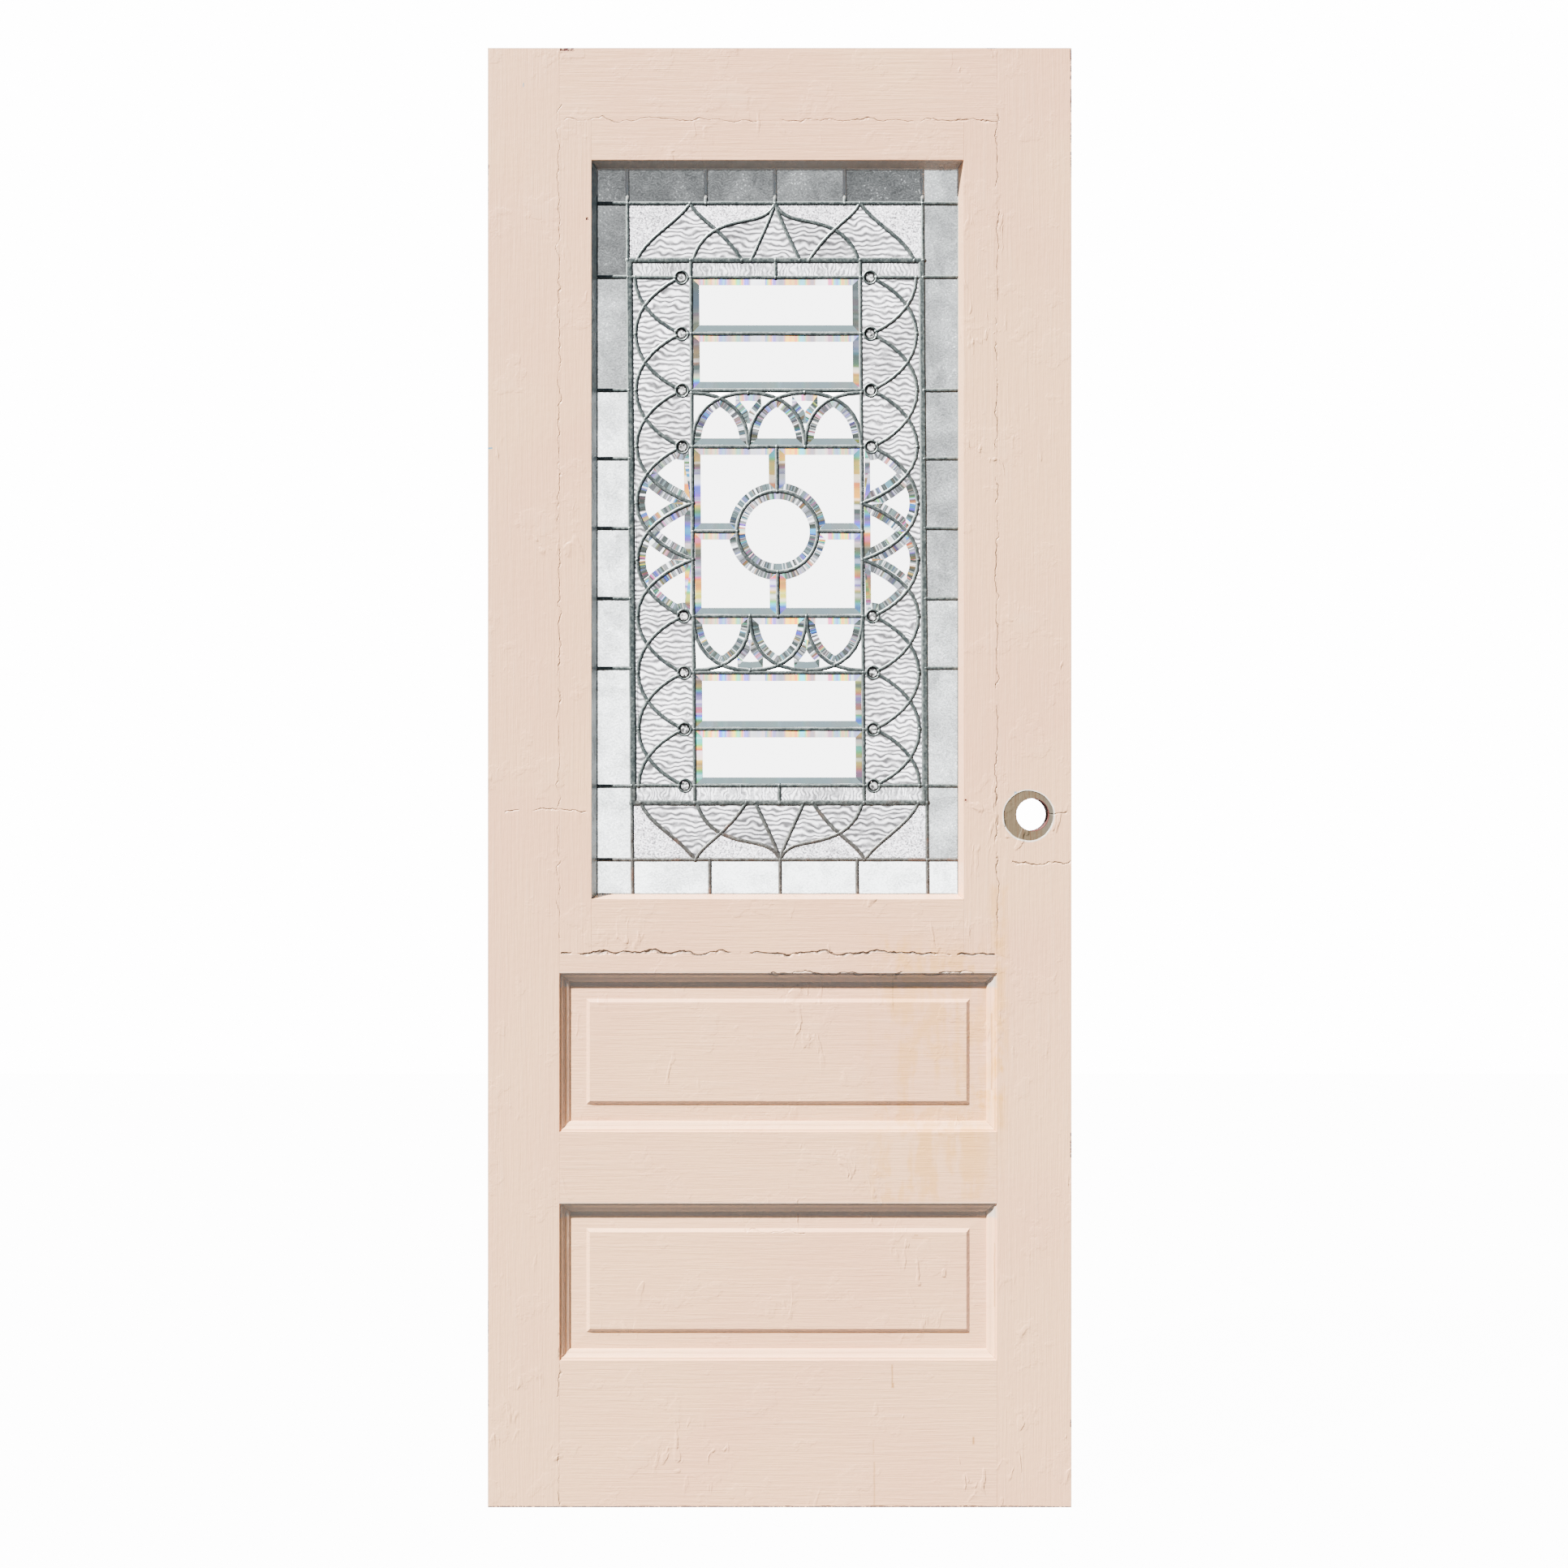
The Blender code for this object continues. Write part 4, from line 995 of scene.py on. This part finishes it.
def makeTextured(name, look):
    material, tree, shader, position = newMaterial(name.replace("_", " "))
    tone, swell, grain = attributeOf(tree, "tone"), look["cloud"], look["grain"]
    inputs = {"Vector": position, "Scale": look["waves"], "Distortion": look["bend"]}
    inputs.update({"Detail": 1.0, "Detail Scale": 1.25})
    across = "X" if name == "reeded_glass" else "Z"
    wave = addNode(tree, "ShaderNodeTexWave", inputs, bands_direction=across).outputs["Fac"]
    cloud = noiseOf(tree, position, 17.0, 5.0, 0.6, 0.6)
    grains = noiseOf(tree, position, 360.0, 3.0, 0.65)
    cells = addNode(tree, "ShaderNodeTexVoronoi", {"Vector": position, "Scale": 150.0}).outputs["Distance"]
    dots = mult(tree, stepUp(tree, cells, 0.07, 0.26, look["dots"], 0.0), stepUp(tree, cloud, 0.49, 0.60))
    # Painted shade and painted highlights: dark lines along the waves' furrows and pale lines along their
    # crests
    furrowShade = stepUp(tree, wave, 0.08, 0.60, look["ripple"], 0.0)
    crestHighlight = stepUp(tree, wave, 0.58, 0.88, 0.0, look["ripple"])
    shade = mult(tree, tone, stepUp(tree, cloud, 0.34, 0.66, 1 - swell, 1 + swell))
    shade = mult(tree, shade, minus(tree, 1.0, furrowShade))
    shade = mult(tree, shade, stepUp(tree, grains, 0.36, 0.64, 1 - grain, 1 + grain * 0.6))
    shade = plus(tree, shade, mult(tree, mult(tree, crestHighlight, 0.8), plus(tree, tone, 0.10)))
    shade = plus(tree, shade, mult(tree, dots, plus(tree, tone, 0.34)), clamp=True)
    colour = mixColour(tree, 1.0, greyOf(tree, shade), look["tint"] + (1,), "MULTIPLY")
    fillGlass(tree, shader, colour, 0.12)
    height = plus(tree, mult(tree, wave, look["ripple"]), mult(tree, grains, 0.4))
    fillInputs(tree, shader, {"Normal": bumpOf(tree, height, 0.8, 1.0 * mm)})
    return material


def setTone(mesh, value):
    attribute = mesh.attributes.get("tone") or mesh.attributes.new("tone", "FLOAT", "POINT")
    attribute.data.foreach_set("value", [value] * len(mesh.vertices))


def pieceFrom(bm, name):
    mesh = bpy.data.meshes.new(name)
    bm.to_mesh(mesh)
    bm.free()
    return linked(name, mesh)


def plateOf(name, outline, y0, y1):
    bm = bmesh.new()
    loop = [bm.verts.new((p[0], y0, p[1])) for p in outline]
    for i, vert in enumerate(loop):
        bm.edges.new((vert, loop[(i + 1) % len(loop)]))
    bmesh.ops.triangle_fill(bm, edges=bm.edges, normal=(0, -1, 0), use_beauty=True)
    grown = bmesh.ops.extrude_face_region(bm, geom=bm.faces[:])
    moved = [v for v in grown["geom"] if isinstance(v, bmesh.types.BMVert)]
    bmesh.ops.translate(bm, verts=moved, vec=(0, y1 - y0, 0))
    bmesh.ops.recalc_face_normals(bm, faces=bm.faces)
    return pieceFrom(bm, name)


def offDoor(place):
    v = place[1] - panelCentre.z
    return place[0] - panelCentre.x - pattern["lean"] * v, v


def isCutGlass(u, v):
    pitch = pattern["pitch"]
    if abs(u) < 1.5 * pitch:
        return abs(v) < 4.5 * pitch
    inFlower = abs(v) < 1.62 * pitch and abs(u) < pattern["arcApexU"]
    edge = 1.5 * pitch + (pattern["arcApexU"] - 1.5 * pitch) * max(0.0, 1 - (abs(v) / (1.5 * pitch)) ** 3.2)
    return inFlower and abs(u) < edge - 2 * mm


# The tone of each border tile, by its place round the panel: from dark grey to almost clear
def borderTone(u, v):
    if v > pattern["borderV"]:
        share = (noise.cell(Vector((u * 9.1, 1, 0))) + 1) / 2
        return tones["topLeast"] + (tones["topMost"] - tones["topLeast"]) * share
    if v < -pattern["borderV"]:
        return tones["foot"]
    if u > 0:
        return tones["right"] if v > -0.1 else tones["low"]
    first, second = [split * mm for split in pattern["sideSplits"][:2]]
    if v > second:
        return tones["darkest"] if v > first else tones["dark"]
    return tones["left"]


def isJewel(u, v):
    place = Vector((abs(u), v))
    return any((place - Vector((pattern["jewelU"], height))).length < 5 * mm for height in jewelHeights())


# The kind of textured glass at a place in the pattern, and its tone
def kindAndTone(u, v, area):
    p = pattern
    tone = tones["field"] * (1 + 0.25 * noise.noise(Vector((u * 31, 5, v * 31))))
    if abs(u) > p["borderU"] or abs(v) > p["borderV"]:
        return "border_tiles", borderTone(u, v)
    if abs(v) > p["thickV"]:
        tone *= tones["ogee"]
        if abs(v) > p["thickV"] + 0.60 * (p["borderV"] - p["thickV"]):
            return "spandrel_glass", tone * tones["spandrel"]
        return "ripple_glass", tone
    if abs(v) > 4.5 * p["pitch"]:
        return "reeded_glass", tone
    return ("ripple_glass" if area > 600 * mm * mm else "spandrel_glass"), tone


def glassPieces():
    pieces = {name: [] for name in textures}
    for cell in heartPlan["cells"]:
        area, moment = weighed(heartPlan, cell)
        if area < 12 * mm * mm:
            continue
        u, v = offDoor(moment / area)
        if isJewel(u, v) or isCutGlass(u, v):
            continue
        kind, tone = kindAndTone(u, v, area)
        piece = plateOf("glass", outlineOf(heartPlan, cell), plateFace, plateBack)
        setTone(piece.data, tone)
        pieces[kind].append(piece)
    return pieces


for kind, parts in glassPieces().items():
    whole = joined(kind, parts)
    whole.data.materials.append(makeTextured(kind, textures[kind]))
    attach(whole, "root")
    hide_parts("lead_and_textured_glass")
    print(kind, len(parts), "pieces")


def makeClear(name):
    material, tree, shader, _ = newMaterial(name)
    fillGlass(tree, shader, (1, 1, 1, 1), 0.0)
    return material


def makeJewelGlass():
    material, tree, shader, position = newMaterial("jewel glass")
    facing = tree.nodes.new("ShaderNodeLayerWeight").outputs["Facing"]
    facets = addNode(tree, "ShaderNodeTexVoronoi", {"Vector": position, "Scale": 330.0}).outputs["Color"]
    sparkle = stepUp(tree, facets, 0.26, 0.55, 0.02, 0.60)
    shade = mult(tree, sparkle, stepUp(tree, facing, 0.04, 0.17, 1.0, 0.01))
    fillGlass(tree, shader, greyOf(tree, shade), 0.02)
    return material


def makeJewels():
    ball = startBall(20, 12)
    radius, depth = pattern["jewelRadius"] - 1.0 * mm, pattern["jewelDepth"]
    made = []
    for side in (-1, 1):
        for v in jewelHeights():
            x, z = onDoor([(side * pattern["jewelU"], v)])[0]
            copy = linked("jewel", ball.data.copy())
            for vert in copy.data.vertices:
                across, out, up = vert.co
                vert.co = (x + across * radius, panelCentre.y + out * depth, z + up * radius)
            made.append(copy)
    bpy.data.objects.remove(ball, do_unlink=True)
    whole = joined("jewels", made)
    bpy.ops.object.shade_smooth()
    return whole


jewels = makeJewels()
jewels.data.materials.clear()
jewels.data.materials.append(makeJewelGlass())
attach(jewels, "root")
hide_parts("lead_and_textured_glass")


# The bevels of the cut glass, which split the light. Their colours are painted light: painted rainbows, pale
# painted reflections, dark painted stripes and a painted tint by the way each face turns
bevelLook = dict(
    top=(0.20, 0.21, 0.24, 1),
    side=(0.032, 0.043, 0.041, 1),
    bottom=(0.075, 0.105, 0.112, 1),
    bands=46.0,
    stripes=120.0,
    longBands=14.0,
    topBands=34.0,
    longStripes=30.0,
    flash=(0.80, 0.82, 0.86, 1),
    paintedDarkStripe=(0.020, 0.022, 0.020, 1),
    rainbow=[
        (0.00, (0.80, 0.07, 0.60, 1)), (0.12, (1.0, 0.16, 0.02, 1)), (0.27, (1.0, 0.60, 0.02, 1)),
        (0.42, (0.10, 0.70, 0.12, 1)), (0.58, (0.02, 0.60, 0.90, 1)), (0.72, (0.03, 0.10, 0.90, 1)),
        (0.86, (0.26, 0.06, 0.70, 1)), (1.00, (0.60, 0.62, 0.70, 1)),
    ],
)


# The attribute "run" is the place along the bevel and "turn" is 1 on the top side and -1 on the bottom side
def makeBevelGlass():
    look = bevelLook
    material, tree, shader, position = newMaterial("bevelled edge")
    run, turn = attributeOf(tree, "run"), attributeOf(tree, "turn")
    spread = mult(tree, turn, 9.0)
    tilt = calc(tree, "ABSOLUTE", turn)
    bent = mult(tree, stepUp(tree, tilt, 0.012, 0.05), stepUp(tree, tilt, 0.985, 0.998, 1.0, 0.0))
    straightBands = stepUp(tree, turn, 0.90, 0.99, look["longBands"], look["topBands"])
    bandRun = mult(tree, run, mixNumber(tree, bent, straightBands, look["bands"]))
    stripeRun = mult(tree, run, stepUp(tree, bent, 0.0, 1.0, look["longStripes"], look["stripes"]))
    bands = addNode(tree, "ShaderNodeCombineXYZ", {0: bandRun, 1: spread}).outputs[0]
    stripes = addNode(tree, "ShaderNodeCombineXYZ", {0: stripeRun, 1: spread}).outputs[0]
    hue = calc(tree, "FRACT", mult(tree, noiseOf(tree, bands, 1.0, 2.0, 0.5), 4.5))
    rainbow = stretched(tree, rampOf(tree, hue, look["rainbow"]), mixNumber(tree, bent, 1.0, 0.42))
    # Painted light: the top faces paler, the sides darkest and the bottom faces teal grey, by the way each
    # bevel faces
    plain = mixColour(tree, stepUp(tree, turn, -0.6, 0.0), look["bottom"], look["side"])
    plain = mixColour(tree, stepUp(tree, turn, 0.2, 0.8), plain, look["top"])
    vivid = stepUp(tree, noiseOf(tree, position, 9.0, 1.0), 0.40, 0.60, 0.30, 1.0)
    coloured = stepUp(tree, noiseOf(tree, stripes, 1.0, 2.0), mixNumber(tree, bent, 0.36, 0.47), 0.58)
    calm = stepUp(tree, partsOf(tree, position)[2], 0.62, 0.68, 0.55, 0.06)
    strength = mult(tree, stepUp(tree, turn, -0.99, -0.7, 0.03, 0.9), vivid)
    strength = mult(tree, strength, mixNumber(tree, bent, stepUp(tree, turn, 0.2, 0.9, calm, 1.0), 1.0))
    colour = mixColour(tree, mult(tree, coloured, strength), plain, rainbow)
    # Painted reflections as pale flashes, and painted shade as dark stripes on the curved bevels
    pale = stepUp(tree, noiseOf(tree, stripes, 1.6, 1.0), 0.54, 0.62)
    pale = mult(tree, pale, mixNumber(tree, bent, strength, 0.85))
    colour = mixColour(tree, pale, colour, look["flash"])
    dark = stepUp(tree, noiseOf(tree, stripes, 0.8, 2.0, 0.5, 1.5), 0.44, 0.56, 0.85, 0.0)
    colour = mixColour(tree, mult(tree, dark, bent), colour, look["paintedDarkStripe"])
    fillGlass(tree, shader, addNode(tree, "ShaderNodeGamma", {0: colour, 1: 2.0}).outputs[0], 0.03)
    return material


clearMaterial = makeClear("clear glass")
bevelMaterial = makeBevelGlass()


def buildCut(name, covered, sight, raised):
    face = plateBack - glass["plate"]
    edge = plateBack - glass["plain"]
    points, loops = [], []
    for outline in (covered, sight, raised):
        if outline:
            loops.append(list(range(len(points), len(points) + len(outline))))
            points += [Vector(p) / mm for p in outline]
    highest = len(covered) + len(sight)
    found, _, faces, sources, _, _ = delaunay_2d_cdt(points, [], loops, 1, 1e-4)
    isRaised = [any(source >= highest for source in origin) for origin in sources]
    bm = bmesh.new()
    front = [bm.verts.new((p.x * mm, face if up else edge, p.y * mm)) for p, up in zip(found, isRaised)]
    for triangle in faces:
        bm.faces.new([front[i] for i in triangle])
    rim = [e for e in bm.edges if e.is_boundary]
    grown = bmesh.ops.extrude_edge_only(bm, edges=rim)
    for vert in grown["geom"]:
        if isinstance(vert, bmesh.types.BMVert):
            vert.co.y = plateBack
    bmesh.ops.contextual_create(bm, geom=[e for e in bm.edges if e.is_boundary])
    bmesh.ops.recalc_face_normals(bm, faces=bm.faces)
    runLayer = bm.loops.layers.float.new("run")
    turnLayer = bm.loops.layers.float.new("turn")
    for poly in bm.faces:
        normal = poly.normal
        isBevel = 0.05 < abs(normal.y) < 0.995 and normal.y < 0
        poly.material_index = 1 if isBevel else 0
        along = Vector((normal.z, 0, -normal.x))
        along = along.normalized() if along.length > 0.01 else Vector((1, 0, 0))
        level = normal.z / max(0.001, math.hypot(normal.x, normal.z))
        for loop in poly.loops:
            loop[runLayer] = loop.vert.co.dot(along)
            loop[turnLayer] = level
    piece = pieceFrom(bm, name)
    piece.data.materials.append(clearMaterial)
    piece.data.materials.append(bevelMaterial)
    return piece


def cutGlassSeeds():
    seeds = {}
    for name, level in (("upper", 4.0), ("second", 3.0), ("third", -3.0), ("lowest", -4.0)):
        seeds["row_bevel_" + name] = (0.02, level)
    for vertical, side in (("upper", 1), ("lower", -1)):
        for i, u in enumerate((-1, 0, 1)):
            seeds[f"arch_bevel_{vertical}_{i + 1}"] = (u, side * 1.9)
        for i, u in enumerate((-0.5, 0.5)):
            seeds[f"between_bevel_{vertical}_{i + 1}"] = (u, side * 2.3)
        for horizontal, u in (("left", -1), ("right", 1)):
            seeds[f"plain_corner_{vertical}_{horizontal}"] = (u * 1.4, side * 2.26)
            seeds[f"square_bevel_{vertical}_{horizontal}"] = (u, side)
    seeds["circle_bevel"] = (0, 0)
    for horizontal, side in (("left", -1), ("right", 1)):
        for i, level in enumerate((1, 0, -1)):
            seeds[f"leaf_bevel_{horizontal}_{i + 1}"] = (side * 1.9, level)
        for i, level in enumerate((0.5, -0.5)):
            seeds[f"shield_bevel_{horizontal}_{i + 1}"] = (side * 2.3, level)
    return seeds


cutCount = 0
for nodeName, (u, v) in cutGlassSeeds().items():
    seed = onDoor([(u * pattern["pitch"], v * pattern["pitch"])])[0]
    found = [cellAt(plan, seed) for plan in (heartPlan, flangePlan, fieldPlan)]
    if not found[0] or not found[1]:
        print("no glass found at", nodeName)
        continue
    covered, sight = outlineOf(heartPlan, found[0]), outlineOf(flangePlan, found[1])
    raised = outlineOf(fieldPlan, found[2]) if found[2] and "plain" not in nodeName else []
    piece = buildCut(nodeName + "_cut", covered, sight, raised)
    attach(piece, "root")
    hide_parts(nodeName)
    cutCount += 1
print("cut glasses:", cutCount)


# The floor, the backdrop and the light
stageLook = dict(
    backdropWhite=15.0,
    throughGlass=6.4,
    floorGlow=13.5,
    paleness=0.04,
    sun=24.0,
    sunTowards=(1.2, 1.0, -1.86),
    behind=5.0,
    behindTowards=(0.5, -1.0, -0.8),
    lightColour=(1.0, 0.985, 0.96),
    fill=0.24,
    sky=(0.58, 0.79, 1.0, 1),
    lens=49.1,
    cameraPlace=(0.464, -3.372, -0.010),
)


# A wide plane that glows for the camera, and less so through the glass
def glowingPlane(name, finish, place, turn, roughness, glow, through):
    bpy.ops.object.select_all(action="DESELECT")
    bpy.ops.mesh.primitive_plane_add(size=16, location=place, rotation=(turn, 0, 0))
    plane = bpy.context.object
    plane.name = name
    material, tree, shader, _ = newMaterial(finish)
    paths = tree.nodes.new("ShaderNodeLightPath").outputs
    strength = plus(
        tree, mult(tree, paths["Is Camera Ray"], glow), mult(tree, paths["Is Transmission Ray"], through))
    fillInputs(tree, shader, {
        "Base Color": (stageLook["paleness"],) * 3 + (1,),
        "Roughness": roughness,
        "Emission Color": (1, 1, 1, 1),
        "Emission Strength": strength,
    })
    plane.data.materials.append(material)
    return plane


def makeStage():
    look = stageLook
    glow, through = look["floorGlow"], look["throughGlass"] * 0.5
    floor = glowingPlane("floor", "pale floor", (0.46, 2.0, doorLow.z - 0.5 * mm), 0, 0.8, glow, through)
    glow, through = look["backdropWhite"], look["throughGlass"]
    backdrop = glowingPlane("backdrop", "white backdrop", (0.46, 5.0, 0), math.pi / 2, 1.0, glow, through)
    backdrop.visible_shadow = False


def makeLight():
    look = stageLook
    world = bpy.data.worlds.new("studio")
    world.use_nodes = True
    bpy.context.scene.world = world
    fillInputs(world.node_tree, world.node_tree.nodes["Background"], {0: look["sky"], 1: look["fill"]})
    for name, strength, softness, towards in (
        ("key", look["sun"], 1.2, look["sunTowards"]),
        ("behind", look["behind"], 25.0, look["behindTowards"]),
    ):
        light = bpy.data.lights.new(name, "SUN")
        light.energy = strength
        light.angle = math.radians(softness)
        light.color = look["lightColour"]
        linked(name, light).rotation_euler = Vector(towards).to_track_quat("-Z", "Y").to_euler()


def makeCamera():
    camera = bpy.data.cameras.new("camera")
    camera.lens = stageLook["lens"]
    camera.sensor_width = 36
    piece = linked("camera", camera)
    piece.location = stageLook["cameraPlace"]
    piece.rotation_euler = (math.pi / 2, 0, 0)
    bpy.context.scene.camera = piece


makeStage()
makeLight()
makeCamera()
